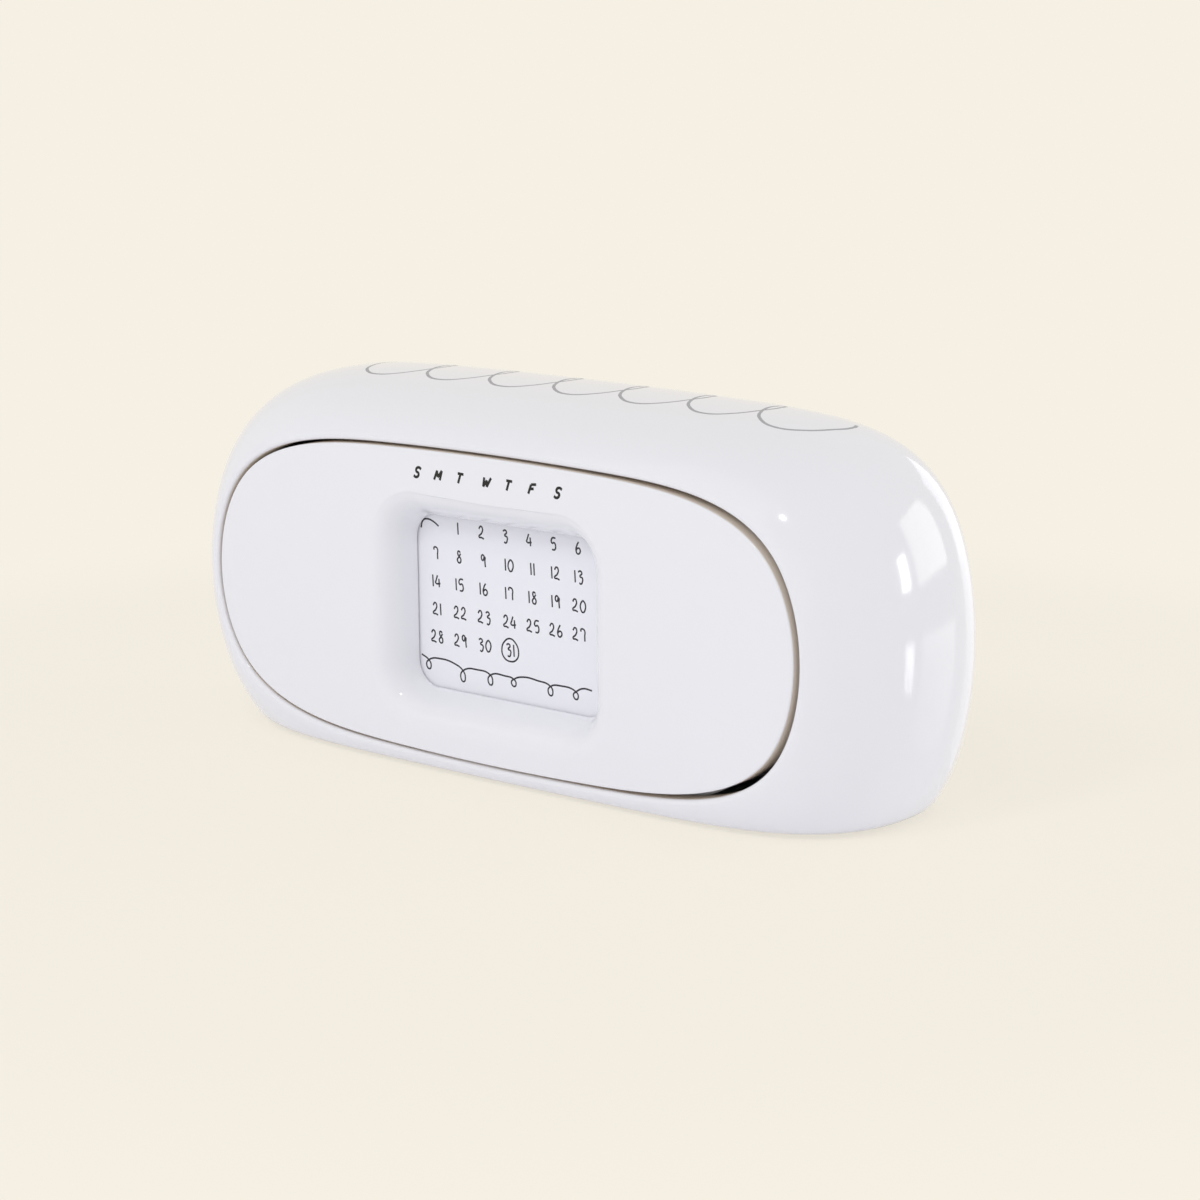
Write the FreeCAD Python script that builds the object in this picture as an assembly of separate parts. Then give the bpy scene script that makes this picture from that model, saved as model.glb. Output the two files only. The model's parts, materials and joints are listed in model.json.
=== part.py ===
import FreeCAD, Part
import math
import os

from FreeCAD import Vector

os.makedirs("parts", exist_ok=True)

# A desk calendar in a pebble-shaped housing with a shallow drawer behind its face.
# Lengths are millimetres. +X is to the right, +Y to the back, +Z up. The origin is on the table,
# under the middle of the part. "Depth" is counted backwards from the crown of the drawer front.

# Driving dimensions of the whole part
foot_stand = 0.7
wall = 2.4
overrun = 2.0
seat_gap = 0.2
running_gap = 0.3
screw_gap = 0.1

# Drawer front, an oval plate that bows a little towards the user
front_width = 180.0
front_height = 75.5
front_side_share = 0.90
front_top_share = 0.32
front_bow_across = 1.6
front_bow_up = 1.2
front_skin = 2.4
front_skirt_depth = 8.0
front_skirt_wall = 2.0
front_centre_over_base = 42.5

# Housing, one moulding whose surface rolls from the mouth to its widest outline and in again
housing_side_swell = 15.2
housing_upright_swell = 14.75
housing_centre_drop = 3.2
housing_side_share = 0.93
housing_top_share = 0.50
front_roll_depth = 36.2
belly_depth = 2.3
rear_roll_depth = 26.0
rear_roll_inset = 17.0
base_edge_chamfer = 1.0

# Mouth of the housing, which the drawer front closes with a gap that is wider at its two ends
mouth_side_gap = 1.2
mouth_upright_gap = 0.6
lip_set_back = 1.9
lip_round = 1.0
lip_land = 0.4
mouth_rim_depth = 7.0

# Back cover, let in flush behind a ledge
cover_rim = 1.6
cover_thick = 2.4
cover_ledge = 2.2
cover_screw_inset = 7.9
cover_screw_up = 17.0
cover_boss_radius = 3.4
cover_boss_length = 9.0
boss_rib = 2.0

# Window recess, flared from a soft mouth to the window
recess_side_flare = 5.5
recess_upright_flare = 6.7
recess_corner = 13.0
recess_depth = 10.8
recess_wall = 1.8
recess_drop = 1.9
window_width = 60.0
window_height = 43.6
window_corner = 6.5
window_flange = 6.0
window_flange_thick = 1.5
recess_inset_shares = (-0.35, 0.16, 0.39, 0.59, 0.76, 0.89, 0.97, 1.0)
recess_depth_shares = (-0.10, 0.08, 0.17, 0.29, 0.44, 0.61, 0.80, 1.0)

# Card pocket and its cards
card_side_lap = 3.0
card_upright_lap = 3.2
card_thick = 0.4
card_corner_cut = 1.5
card_side_gap = 0.3
card_bottom_gap = 0.1
spare_card_count = 5
spare_card_thick = 0.36
spare_card_gap = 0.02
pocket_wall = 2.7
pocket_back = 1.6
pocket_floor = 1.6
pocket_head_room = 1.0
pocket_ear_width = 8.5
pocket_ear_height = 8.0
pocket_ear_thick = 2.0
pocket_screw_from_wall = 5.5
pocket_screw_up = 16.0
pocket_boss_radius = 2.8
thumb_notch_radius = 9.0

# Tray, an open tub behind the drawer front
tray_side_inset = 20.0
tray_bottom_over_base = 7.9
tray_height = 57.4
tray_corner = 20.0
tray_wall = 2.0
tray_floor = 2.0
tray_start_depth = 16.0
tray_rim_chamfer = 0.6
tray_screw_inset = 8.0
tray_screw_up = 18.0
tray_boss_radius = 3.5

# Cradle, the fixed tub in which the tray slides
cradle_side_room = 5.0
cradle_wall = 2.0
cradle_floor = 1.8
cradle_floor_over_base = 5.0
cradle_start_depth = 9.0
cradle_height = 52.3
cradle_corner = 24.0
runner_rib_across = 40.0
runner_rib_width = 4.0
bumper_radius = 3.5
bumper_proud = 1.2
bumper_stem_radius = 1.5
bumper_across = 45.0
bumper_over_base = 39.3

# Slide rails and the tongues of the tray that they hold
rail_over_base = 49.3
tongue_height = 3.0
tongue_length = 8.0
tongue_proud = 2.4
rail_web = 2.1
rail_lip = 2.0
rail_stop = 1.6
rail_screw_end_share = 0.2

# Feet and the screw posts above them
foot_radius = 6.3
foot_side_gap = 0.2
foot_recess = 1.0
foot_across = 46.0
foot_inset = 17.0
post_radius = 6.5

# Screws: head radius, head height, shank radius, length under the head
cover_screw = (2.8, 1.4, 1.15, 8.0)
cradle_screw = (2.8, 1.6, 1.15, 4.4)
tray_screw = (2.8, 1.6, 1.15, 8.0)
pocket_screw = (2.2, 1.2, 0.9, 6.0)
rail_screw = (2.2, 1.2, 0.9, 3.5)
head_side_gap = 0.3
pilot_extra = 0.8

# Bands that make up the rolled forms of the housing and the lip of its mouth
outer_front_band_count = 6
outer_rear_band_count = 5
inner_front_band_count = 4
inner_rear_band_count = 3
lip_band_count = 2

# Screws, bores, bosses and feet are drawn with flat sides, which keeps the many small rounds light
small_side_count = 8
foot_side_count = 16

# Half way along a span, a smooth curve of equal spans lies between its poles by these shares
near_pole_share = 23 / 24
far_pole_share = 1 / 24
curve_degree = 3

# Sizes and places that follow from the sizes above
part_depth = front_roll_depth + belly_depth + rear_roll_depth
front_y = -part_depth / 2
base_z = foot_stand
floor_z = base_z + wall
centre_z = base_z + front_centre_over_base
mouth_half_width = front_width / 2 + mouth_side_gap
mouth_half_height = front_height / 2 + mouth_upright_gap
lip_width = lip_round + lip_land
housing_half_width = mouth_half_width + lip_width + housing_side_swell
housing_half_height = mouth_half_height + lip_width + housing_upright_swell
housing_centre_z = centre_z - housing_centre_drop
cover_front_depth = part_depth - cover_thick
ledge_front_depth = cover_front_depth - wall
cover_half_width = housing_half_width - rear_roll_inset - cover_rim
rear_top_z = housing_centre_z + housing_half_height - rear_roll_inset
cover_top_z = rear_top_z - cover_rim
cover_bottom_z = base_z + cover_rim
cover_half_height = (cover_top_z - cover_bottom_z) / 2
cover_centre_z = (cover_top_z + cover_bottom_z) / 2
cover_screw_across = cover_half_width - cover_screw_inset
window_z = centre_z - recess_drop
recess_half_width = window_width / 2 + recess_side_flare
recess_half_height = window_height / 2 + recess_upright_flare
card_width = window_width + 2 * card_side_lap
card_height = window_height + 2 * card_upright_lap
tray_half_width = front_width / 2 - tray_side_inset
tray_screw_across = tray_half_width - tray_screw_inset
tray_bottom_z = base_z + tray_bottom_over_base
tray_top_z = tray_bottom_z + tray_height
cradle_half_width = tray_half_width + cradle_side_room + cradle_wall
cradle_bottom_z = base_z + cradle_floor_over_base
cradle_floor_z = cradle_bottom_z + cradle_floor
cradle_top_z = cradle_bottom_z + cradle_height
cradle_end_depth = cover_front_depth - seat_gap
cradle_wall_depth = cradle_end_depth - cradle_wall
tray_end_depth = cradle_wall_depth - bumper_proud - seat_gap
tongue_start_depth = tray_end_depth - tongue_length
rail_start_depth = cradle_start_depth
rail_end_depth = cradle_wall_depth - seat_gap
rail_z = base_z + rail_over_base
drawer_travel = tongue_start_depth - rail_start_depth - rail_stop - running_gap
pocket_half_width = card_width / 2 + card_side_gap + pocket_wall
pocket_screw_across = pocket_half_width + pocket_screw_from_wall
pocket_height = card_height + pocket_head_room
pocket_bottom_z = window_z - pocket_height / 2 - pocket_floor
pocket_floor_z = pocket_bottom_z + pocket_floor
stack_depth = card_thick + spare_card_count * (spare_card_thick + spare_card_gap)
pocket_back_depth = recess_depth + stack_depth + seat_gap
foot_depths = (foot_inset, part_depth - foot_inset)


def at(x, depth, z):
    """A point from its place across, its depth behind the crown of the front, and its height."""
    return Vector(x, front_y + depth, z)


def oval(half_width, half_height, side_share, top_share, depth, middle_z):
    """An upright oval, drawn as one smooth curve by eight poles.

    The shares say how far up its sides and how far out along its top the poles stand, so how full it is.
    """
    pole_x = half_width * pole_reach(top_share)
    pole_z = half_height * pole_reach(side_share)
    quarter = [(pole_x, pole_z * side_share), (pole_x * top_share, pole_z)]
    upper = quarter + [(-x, z) for x, z in quarter[::-1]]
    lower = [(-x, -z) for x, z in upper]
    poles = [at(x, depth, middle_z + z) for x, z in upper + lower]
    curve = Part.BSplineCurve()
    curve.buildFromPoles(poles, True, curve_degree)
    return Part.Wire([curve.toShape()])


def pole_reach(share):
    """How far past its outermost point a smooth curve of equal spans has its two outer poles."""
    return 1 / (near_pole_share + far_pole_share * share)


def prism(outline, depth_length):
    return Part.Face(outline).extrude(Vector(0, depth_length, 0))


def banded(outlines):
    """A solid whose surface runs straight from each outline to the next."""
    return Part.makeLoft(outlines, True, True)


def oval_slab(oval_at, depth_low, depth_high):
    """A solid of one oval between two depths, where oval_at gives that oval at a depth."""
    return banded([oval_at(depth_low), oval_at(depth_high)])


def front_oval(depth, offset=0):
    """The outline of the drawer front, grown or shrunk by an offset."""
    return oval(
        front_width / 2 + offset,
        front_height / 2 + offset,
        front_side_share,
        front_top_share,
        depth,
        centre_z,
    )


def mouth_oval(depth, offset=0):
    """The outline of the mouth, which the lip opens out by an offset."""
    return oval(
        mouth_half_width + offset,
        mouth_half_height + offset,
        front_side_share,
        front_top_share,
        depth,
        centre_z,
    )


def cover_oval(depth, offset=0):
    """The outline of the seat of the back cover, grown or shrunk by an offset."""
    return oval(
        cover_half_width + offset,
        cover_half_height + offset,
        housing_side_share,
        housing_top_share,
        depth,
        cover_centre_z,
    )


def opening_oval(depth):
    """The way in behind the ledge, which runs lower than the cover so that the cradle passes."""
    top_z = cover_top_z - cover_ledge
    half_height = (top_z - base_z) / 2
    return oval(
        cover_half_width - cover_ledge,
        half_height,
        housing_side_share,
        housing_top_share,
        depth,
        base_z + half_height,
    )


def rounded_box_outline(half_width, half_height, corner, depth, middle_z):
    """An upright rectangle with round corners, as four lines and four arcs."""
    flat_x = half_width - corner
    flat_z = half_height - corner
    slant = corner * math.sqrt(0.5)
    edges = []
    for sign_x, sign_z in ((1, 1), (-1, 1), (-1, -1), (1, -1)):
        side = at(sign_x * half_width, depth, middle_z + sign_z * flat_z)
        middle = at(sign_x * (flat_x + slant), depth, middle_z + sign_z * (flat_z + slant))
        end = at(sign_x * flat_x, depth, middle_z + sign_z * half_height)
        run = (side, middle, end) if sign_x == sign_z else (end, middle, side)
        edges.append(run)
    outline = []
    for i, (start, middle, end) in enumerate(edges):
        outline.append(Part.Arc(start, middle, end).toShape())
        following = edges[(i + 1) % len(edges)][0]
        outline.append(Part.LineSegment(end, following).toShape())
    return Part.Wire(outline)


def tub_outline(half_width, bottom_z, top_z, corner, depth):
    """An upright U, closed along its top, with two large lower corners."""
    slant = corner * (1 - math.sqrt(0.5))
    top_left = at(-half_width, depth, top_z)
    low_left = at(-half_width, depth, bottom_z + corner)
    mid_left = at(slant - half_width, depth, bottom_z + slant)
    floor_left = at(corner - half_width, depth, bottom_z)
    floor_right = at(half_width - corner, depth, bottom_z)
    mid_right = at(half_width - slant, depth, bottom_z + slant)
    low_right = at(half_width, depth, bottom_z + corner)
    top_right = at(half_width, depth, top_z)
    return Part.Wire([
        Part.LineSegment(top_left, low_left).toShape(),
        Part.Arc(low_left, mid_left, floor_left).toShape(),
        Part.LineSegment(floor_left, floor_right).toShape(),
        Part.Arc(floor_right, mid_right, low_right).toShape(),
        Part.LineSegment(low_right, top_right).toShape(),
        Part.LineSegment(top_right, top_left).toShape(),
    ])


def block(x_low, x_high, depth_low, depth_high, z_low, z_high):
    size = (x_high - x_low, depth_high - depth_low, z_high - z_low)
    return Part.makeBox(*size, at(x_low, depth_low, z_low))


def bar(radius, start, direction, length, side_count=small_side_count):
    """A round bar with flat sides, so small that the flats don't show."""
    across = Vector(0, 1, 0) if direction.x else Vector(1, 0, 0)
    upright = direction.cross(across)
    corners = []
    for i in range(side_count):
        turn = 2 * math.pi * i / side_count
        corners.append(start + (across * math.cos(turn) + upright * math.sin(turn)) * radius)
    return Part.Face(Part.makePolygon(corners + corners[:1])).extrude(direction * length)


def rod(radius, x, z, depth_low, depth_high):
    """A bar that runs front to back."""
    return bar(radius, at(x, depth_low, z), Vector(0, 1, 0), depth_high - depth_low)


def post(radius, x, depth, z_low, z_high, side_count=small_side_count):
    """A bar that stands upright."""
    return bar(radius, at(x, depth, z_low), Vector(0, 0, 1), z_high - z_low, side_count)


def screw(sizes, head_face, direction):
    """A pan-head screw whose head's underside is at head_face and whose shank runs along direction."""
    head_radius, head_height, shank_radius, length = sizes
    head = bar(head_radius, head_face, -direction, head_height)
    shank = bar(shank_radius, head_face, direction, length)
    return head.fuse(shank)


def mirrored_places(across, up, middle_z):
    return [(sx * across, middle_z + sz * up) for sx in (-1, 1) for sz in (-1, 1)]


def foot_places():
    return [(sx * foot_across, depth) for depth in foot_depths for sx in (-1, 1)]


def save(name, shape):
    shape.exportStep("parts/" + name + ".step")


def roll_start_angle():
    return math.asin((front_roll_depth - lip_set_back) / front_roll_depth)


def housing_section(grown_share, inset_side, depth):
    """One outline of the housing, between the lip of the mouth and the widest outline."""
    kept_share = 1 - grown_share
    lip_half_width = mouth_half_width + lip_width
    lip_half_height = mouth_half_height + lip_width
    return oval(
        lip_half_width * kept_share + housing_half_width * grown_share - inset_side,
        lip_half_height * kept_share + housing_half_height * grown_share - inset_side,
        front_side_share * kept_share + housing_side_share * grown_share,
        front_top_share * kept_share + housing_top_share * grown_share,
        depth,
        centre_z - housing_centre_drop * grown_share,
    )


def rolled_form(thickness, first_depth, last_depth, front_bands, rear_bands):
    """The rolled form between two depths, or with a thickness the room inside that wall."""
    sections = []
    front_reach = front_roll_depth - thickness
    rear_reach = rear_roll_depth - thickness
    rear_start = part_depth - rear_roll_depth
    first_angle = math.asin((front_roll_depth - first_depth) / front_reach)
    last_angle = math.asin((last_depth - rear_start) / rear_reach)
    for i in range(front_bands + 1):
        angle = first_angle * (1 - i / front_bands)
        grown_share = 1 - (1 - math.cos(angle)) / (1 - math.cos(roll_start_angle()))
        depth = front_roll_depth - front_reach * math.sin(angle)
        sections.append(housing_section(grown_share, thickness * math.cos(angle), depth))
    for i in range(rear_bands + 1):
        angle = last_angle * i / rear_bands
        inset = rear_roll_inset * (1 - math.cos(angle)) + thickness * math.cos(angle)
        sections.append(housing_section(1.0, inset, rear_start + rear_reach * math.sin(angle)))
    return banded(sections)


def mouth_form():
    """The opening of the mouth, from the rounded lip to the end of the rim behind it."""
    sections = []
    for i in range(lip_band_count + 1):
        angle = math.pi / 2 * i / lip_band_count
        depth = lip_set_back + lip_round * (1 - math.cos(angle))
        sections.append(mouth_oval(depth, lip_round * (1 - math.sin(angle))))
    sections.append(mouth_oval(mouth_rim_depth + overrun))
    return banded(sections)


def base_edges(shape, height):
    """The edges that lie in the level plane of the base."""
    found = []
    for edge in shape.Edges:
        box = edge.BoundBox
        if max(abs(box.ZMin - height), abs(box.ZMax - height)) < seat_gap / 10:
            found.append(edge)
    return found


def housing_outside():
    """The pebble with its flat base and the softened edge around it."""
    form = rolled_form(0, lip_set_back, part_depth, outer_front_band_count, outer_rear_band_count)
    below_base = block(
        -housing_half_width, housing_half_width, -overrun, part_depth + overrun,
        housing_centre_z - housing_half_height - overrun, base_z,
    )
    form = form.cut(below_base)
    return form.makeChamfer(base_edge_chamfer, base_edges(form, base_z))


def housing_room():
    """The hollow inside the wall, between the rim of the mouth and the ledge of the cover."""
    room = rolled_form(
        wall, mouth_rim_depth, ledge_front_depth, inner_front_band_count, inner_rear_band_count,
    )
    return room.common(block(
        -housing_half_width, housing_half_width, 0, part_depth,
        floor_z, housing_centre_z + housing_half_height,
    ))


def cover_boss(x, z):
    """A boss behind the ledge for one screw of the back cover, with a rib to the side wall."""
    start = cover_front_depth - cover_boss_length
    boss = rod(cover_boss_radius, x, z, start, cover_front_depth)
    low, high = sorted((x, math.copysign(housing_half_width, x)))
    rib = block(low, high, start, ledge_front_depth, z - boss_rib / 2, z + boss_rib / 2)
    return boss.fuse(rib)


def housing():
    outside = housing_outside()
    reach = part_depth + overrun
    opening = oval_slab(opening_oval, ledge_front_depth, reach)
    opening = opening.common(block(
        -housing_half_width, housing_half_width, 0, reach, floor_z, rear_top_z,
    ))
    recess = oval_slab(cover_oval, cover_front_depth, reach)
    shell = outside.cut(mouth_form()).cut(housing_room()).cut(opening).cut(recess)
    inner_form = outside.common(block(
        -housing_half_width, housing_half_width, mouth_rim_depth, cover_front_depth,
        base_z, rear_top_z,
    ))
    for x, z in mirrored_places(cover_screw_across, cover_screw_up, cover_centre_z):
        shell = shell.fuse(cover_boss(x, z).common(inner_form))
        pilot = rod(
            cover_screw[2] + screw_gap, x, z,
            cover_front_depth - cover_screw[3] - pilot_extra, cover_front_depth,
        )
        shell = shell.cut(pilot)
    for x, depth in foot_places():
        shell = shell.fuse(post(post_radius, x, depth, floor_z - wall / 2, cradle_bottom_z))
        foot_well = post(
            foot_radius + foot_side_gap, x, depth, 0, base_z + foot_recess, foot_side_count,
        )
        head_well_top = base_z + foot_recess + cradle_screw[1] + seat_gap
        head_well = post(cradle_screw[0] + head_side_gap, x, depth, base_z, head_well_top)
        way = post(cradle_screw[2] + head_side_gap, x, depth, base_z, cradle_bottom_z)
        shell = shell.cut(foot_well).cut(head_well).cut(way)
    return shell.removeSplitter()


def back_cover():
    plate = banded([cover_oval(depth, -seat_gap) for depth in (cover_front_depth, part_depth)])
    for x, z in mirrored_places(cover_screw_across, cover_screw_up, cover_centre_z):
        way = rod(cover_screw[2] + head_side_gap, x, z, 0, part_depth + overrun)
        head_well = rod(
            cover_screw[0] + head_side_gap, x, z,
            part_depth - cover_screw[1], part_depth + overrun,
        )
        plate = plate.cut(way).cut(head_well)
    return plate


def back_cover_screws():
    seat = part_depth - cover_screw[1]
    return Part.makeCompound([
        screw(cover_screw, at(x, seat, z), Vector(0, -1, 0))
        for x, z in mirrored_places(cover_screw_across, cover_screw_up, cover_centre_z)
    ])


def cradle():
    """The fixed tub: floor, sides and back, open to the front and top."""
    length = cradle_end_depth - cradle_start_depth
    outer = prism(
        tub_outline(cradle_half_width, cradle_bottom_z, cradle_top_z, cradle_corner, cradle_start_depth),
        length,
    )
    inner = prism(
        tub_outline(
            cradle_half_width - cradle_wall, cradle_floor_z, cradle_top_z + overrun,
            cradle_corner - cradle_wall, cradle_start_depth - overrun,
        ),
        cradle_wall_depth - cradle_start_depth + overrun,
    )
    tub = outer.cut(inner)
    rib_top_z = tray_bottom_z - running_gap
    for side in (-1, 1):
        middle = side * runner_rib_across
        tub = tub.fuse(block(
            middle - runner_rib_width / 2, middle + runner_rib_width / 2,
            cradle_start_depth, cradle_wall_depth, cradle_floor_z - cradle_floor / 2, rib_top_z,
        ))
    for x, depth in foot_places():
        tub = tub.fuse(post(cover_boss_radius, x, depth, cradle_floor_z - cradle_floor / 2, rib_top_z))
    for x, depth in foot_places():
        tub = tub.cut(post(cradle_screw[2] + screw_gap, x, depth, 0, rib_top_z + overrun))
    for x, z in bumper_places():
        tub = tub.cut(rod(bumper_stem_radius + screw_gap, x, z, tray_end_depth, part_depth))
    for side in (-1, 1):
        for depth in rail_screw_depths():
            tub = tub.cut(side_rod(
                rail_screw[2] + head_side_gap, side, cradle_half_width - 2 * cradle_wall,
                cradle_half_width + overrun, depth,
            ))
    return tub.removeSplitter()


def side_rod(radius, side, x_low, x_high, depth):
    """A bar that runs sideways at the height of the rails."""
    return bar(radius, at(side * x_low, depth, rail_z), Vector(side, 0, 0), x_high - x_low)


def bumper_places():
    return [(side * bumper_across, base_z + bumper_over_base) for side in (-1, 1)]


def rail_screw_depths():
    length = rail_end_depth - rail_start_depth
    return (
        rail_start_depth + length * rail_screw_end_share,
        rail_end_depth - length * rail_screw_end_share,
    )


def cradle_screws():
    head_face_z = base_z + foot_recess + cradle_screw[1] + seat_gap
    return Part.makeCompound([
        screw(cradle_screw, at(x, depth, head_face_z), Vector(0, 0, 1))
        for x, depth in foot_places()
    ])


def closing_bumpers():
    stems = []
    for x, z in bumper_places():
        pad = rod(bumper_radius, x, z, cradle_wall_depth - bumper_proud, cradle_wall_depth)
        stem = rod(bumper_stem_radius, x, z, cradle_wall_depth, cradle_end_depth - seat_gap)
        stems.append(pad.fuse(stem).removeSplitter())
    return Part.makeCompound(stems)


def slide_rail(side):
    """A channel that is open towards the tray and closed at its front end."""
    groove = tongue_height + 2 * running_gap
    web_x = cradle_half_width - cradle_wall
    lip_x = tray_half_width + running_gap * 2
    low, high = sorted((side * web_x, side * lip_x))
    bar = block(
        low, high, rail_start_depth, rail_end_depth,
        rail_z - groove / 2 - rail_lip, rail_z + groove / 2 + rail_lip,
    )
    low, high = sorted((side * (web_x - rail_web), side * (lip_x - overrun)))
    bar = bar.cut(block(
        low, high, rail_start_depth + rail_stop, rail_end_depth + overrun,
        rail_z - groove / 2, rail_z + groove / 2,
    ))
    for depth in rail_screw_depths():
        pilot_start = web_x + cradle_wall - rail_screw[3] - screw_gap
        bar = bar.cut(side_rod(rail_screw[2] + screw_gap, side, pilot_start, web_x + overrun, depth))
    return bar


def rail_screws():
    return Part.makeCompound([
        screw(rail_screw, at(side * cradle_half_width, depth, rail_z), Vector(-side, 0, 0))
        for side in (-1, 1) for depth in rail_screw_depths()
    ])


def foot(x, depth):
    return post(foot_radius, x, depth, 0, base_z + foot_recess, foot_side_count)


def bow_solid(set_back):
    """A round body whose front is the bowed face, set back from the crown."""
    across_radius = (front_width / 2) ** 2 / (2 * front_bow_across)
    up_radius = (front_height / 2) ** 2 / (2 * front_bow_up)
    ring_radius = across_radius - up_radius
    middle = at(0, across_radius, centre_z)
    return Part.makeTorus(ring_radius, up_radius - set_back, middle, Vector(0, 0, 1))


def recess_outline(inset_share, depth_share, offset):
    half_width = recess_half_width - recess_side_flare * inset_share
    half_height = recess_half_height - recess_upright_flare * inset_share
    corner = recess_corner - (recess_corner - window_corner) * inset_share
    return rounded_box_outline(
        half_width + offset, half_height + offset, corner + offset,
        recess_depth * depth_share, window_z,
    )


def recess_form(offset):
    """The flared form of the window recess, grown by an offset."""
    return banded([
        recess_outline(inset_share, depth_share, offset)
        for inset_share, depth_share in zip(recess_inset_shares, recess_depth_shares)
    ])


def drawer_front():
    reach = tray_start_depth
    blank = oval_slab(front_oval, -overrun, front_skirt_depth).common(bow_solid(0))
    hollow = banded([front_oval(depth, -front_skirt_wall) for depth in (-overrun, reach)])
    hollow = hollow.common(bow_solid(front_skin))
    plate = blank.cut(hollow)
    walls = recess_form(recess_wall).common(block(
        -front_width, front_width, front_skin, recess_depth, 0, centre_z + front_height,
    ))
    flange = prism(
        rounded_box_outline(
            window_width / 2 + window_flange, window_height / 2 + window_flange,
            window_corner + window_flange, recess_depth - window_flange_thick, window_z,
        ),
        window_flange_thick,
    )
    plate = plate.fuse(walls).fuse(flange)
    for x, z in tray_screw_places():
        plate = plate.fuse(rod(tray_boss_radius, x, z, front_skin, tray_start_depth))
    for x, z in pocket_screw_places():
        plate = plate.fuse(rod(pocket_boss_radius, x, z, front_skin, recess_depth))
    plate = plate.cut(recess_form(0))
    window = rounded_box_outline(
        window_width / 2, window_height / 2, window_corner, recess_depth - overrun, window_z,
    )
    plate = plate.cut(prism(window, overrun * 2))
    for x, z in tray_screw_places():
        depth = tray_start_depth + tray_wall - tray_screw[3] - pilot_extra
        plate = plate.cut(rod(tray_screw[2] + screw_gap, x, z, depth, reach + overrun))
    for x, z in pocket_screw_places():
        depth = recess_depth + pocket_ear_thick - pocket_screw[3] - pilot_extra
        plate = plate.cut(rod(pocket_screw[2] + screw_gap, x, z, depth, recess_depth + overrun))
    return plate.removeSplitter()


def tray_screw_places():
    return mirrored_places(tray_screw_across, tray_screw_up, centre_z)


def pocket_screw_places():
    return mirrored_places(pocket_screw_across, pocket_screw_up, window_z)


def drawer_tray():
    length = tray_end_depth - tray_start_depth
    outer = prism(
        tub_outline(tray_half_width, tray_bottom_z, tray_top_z, tray_corner, tray_start_depth), length,
    )
    inner = prism(
        tub_outline(
            tray_half_width - tray_wall, tray_bottom_z + tray_floor, tray_top_z + overrun,
            tray_corner - tray_wall, tray_start_depth + tray_wall,
        ),
        length - 2 * tray_wall,
    )
    tub = outer.cut(inner)
    rim = [edge for edge in tub.Edges if edge.BoundBox.ZMin > tray_top_z - seat_gap]
    tub = tub.makeChamfer(tray_rim_chamfer, rim)
    for side in (-1, 1):
        tongue = (side * (tray_half_width - tray_wall / 2), side * (tray_half_width + tongue_proud))
        tub = tub.fuse(block(
            min(tongue), max(tongue), tongue_start_depth, tray_end_depth,
            rail_z - tongue_height / 2, rail_z + tongue_height / 2,
        ))
    for x, z in tray_screw_places():
        tub = tub.cut(rod(tray_screw[2] + head_side_gap, x, z, 0, tray_start_depth + tray_wall + overrun))
    return tub.removeSplitter()


def tray_screws():
    seat = tray_start_depth + tray_wall
    return Part.makeCompound([
        screw(tray_screw, at(x, seat, z), Vector(0, -1, 0)) for x, z in tray_screw_places()
    ])


def card_pocket():
    """A shallow holder behind the window, open at its top for the cards."""
    back = pocket_back_depth + pocket_back
    top_z = pocket_floor_z + pocket_height
    body = block(-pocket_half_width, pocket_half_width, recess_depth, back, pocket_bottom_z, top_z)
    reach = pocket_half_width + pocket_ear_width
    for up in (-1, 1):
        middle = window_z + up * pocket_screw_up
        body = body.fuse(block(
            -reach, reach, recess_depth, recess_depth + pocket_ear_thick,
            middle - pocket_ear_height / 2, middle + pocket_ear_height / 2,
        ))
    inner = pocket_half_width - pocket_wall
    body = body.cut(block(
        -inner, inner, recess_depth - overrun, pocket_back_depth, pocket_floor_z, top_z + overrun,
    ))
    body = body.cut(rod(thumb_notch_radius, 0, top_z, recess_depth, back + overrun))
    for x, z in pocket_screw_places():
        body = body.cut(rod(pocket_screw[2] + head_side_gap, x, z, 0, back + overrun))
    return body.removeSplitter()


def pocket_screws():
    seat = recess_depth + pocket_ear_thick
    return Part.makeCompound([
        screw(pocket_screw, at(x, seat, z), Vector(0, -1, 0)) for x, z in pocket_screw_places()
    ])


def card(depth, thickness):
    """One card, a sheet whose corners are cut off so that it slips into the pocket."""
    half_width = card_width / 2
    half_height = card_height / 2
    middle_z = pocket_floor_z + card_bottom_gap + half_height
    quarter = [
        (half_width, half_height - card_corner_cut),
        (half_width - card_corner_cut, half_height),
    ]
    upper = quarter + [(-x, z) for x, z in quarter[::-1]]
    lower = [(-x, -z) for x, z in upper]
    corners = [at(x, depth, middle_z + z) for x, z in upper + lower]
    return prism(Part.makePolygon(corners + corners[:1]), thickness)


def spare_cards():
    pitch = spare_card_thick + spare_card_gap
    first = recess_depth + card_thick + spare_card_gap
    return Part.makeCompound([
        card(first + i * pitch, spare_card_thick) for i in range(spare_card_count)
    ])


save("housing", housing())
save("back_cover", back_cover())
save("back_cover_screws", back_cover_screws())
save("drawer_cradle", cradle())
save("cradle_screws", cradle_screws())
save("closing_bumpers", closing_bumpers())
save("left_slide_rail", slide_rail(-1))
save("right_slide_rail", slide_rail(1))
save("rail_screws", rail_screws())
for name, (x, depth) in zip(
    ("front_left_foot", "front_right_foot", "rear_left_foot", "rear_right_foot"), foot_places()
):
    save(name, foot(x, depth))
save("drawer_front", drawer_front())
save("drawer_tray", drawer_tray())
save("tray_screws", tray_screws())
save("card_pocket", card_pocket())
save("card_pocket_screws", pocket_screws())
save("calendar_card", card(recess_depth, card_thick))
save("spare_cards", spare_cards())
print("drawer travel", round(drawer_travel, 1), "mm")
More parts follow.
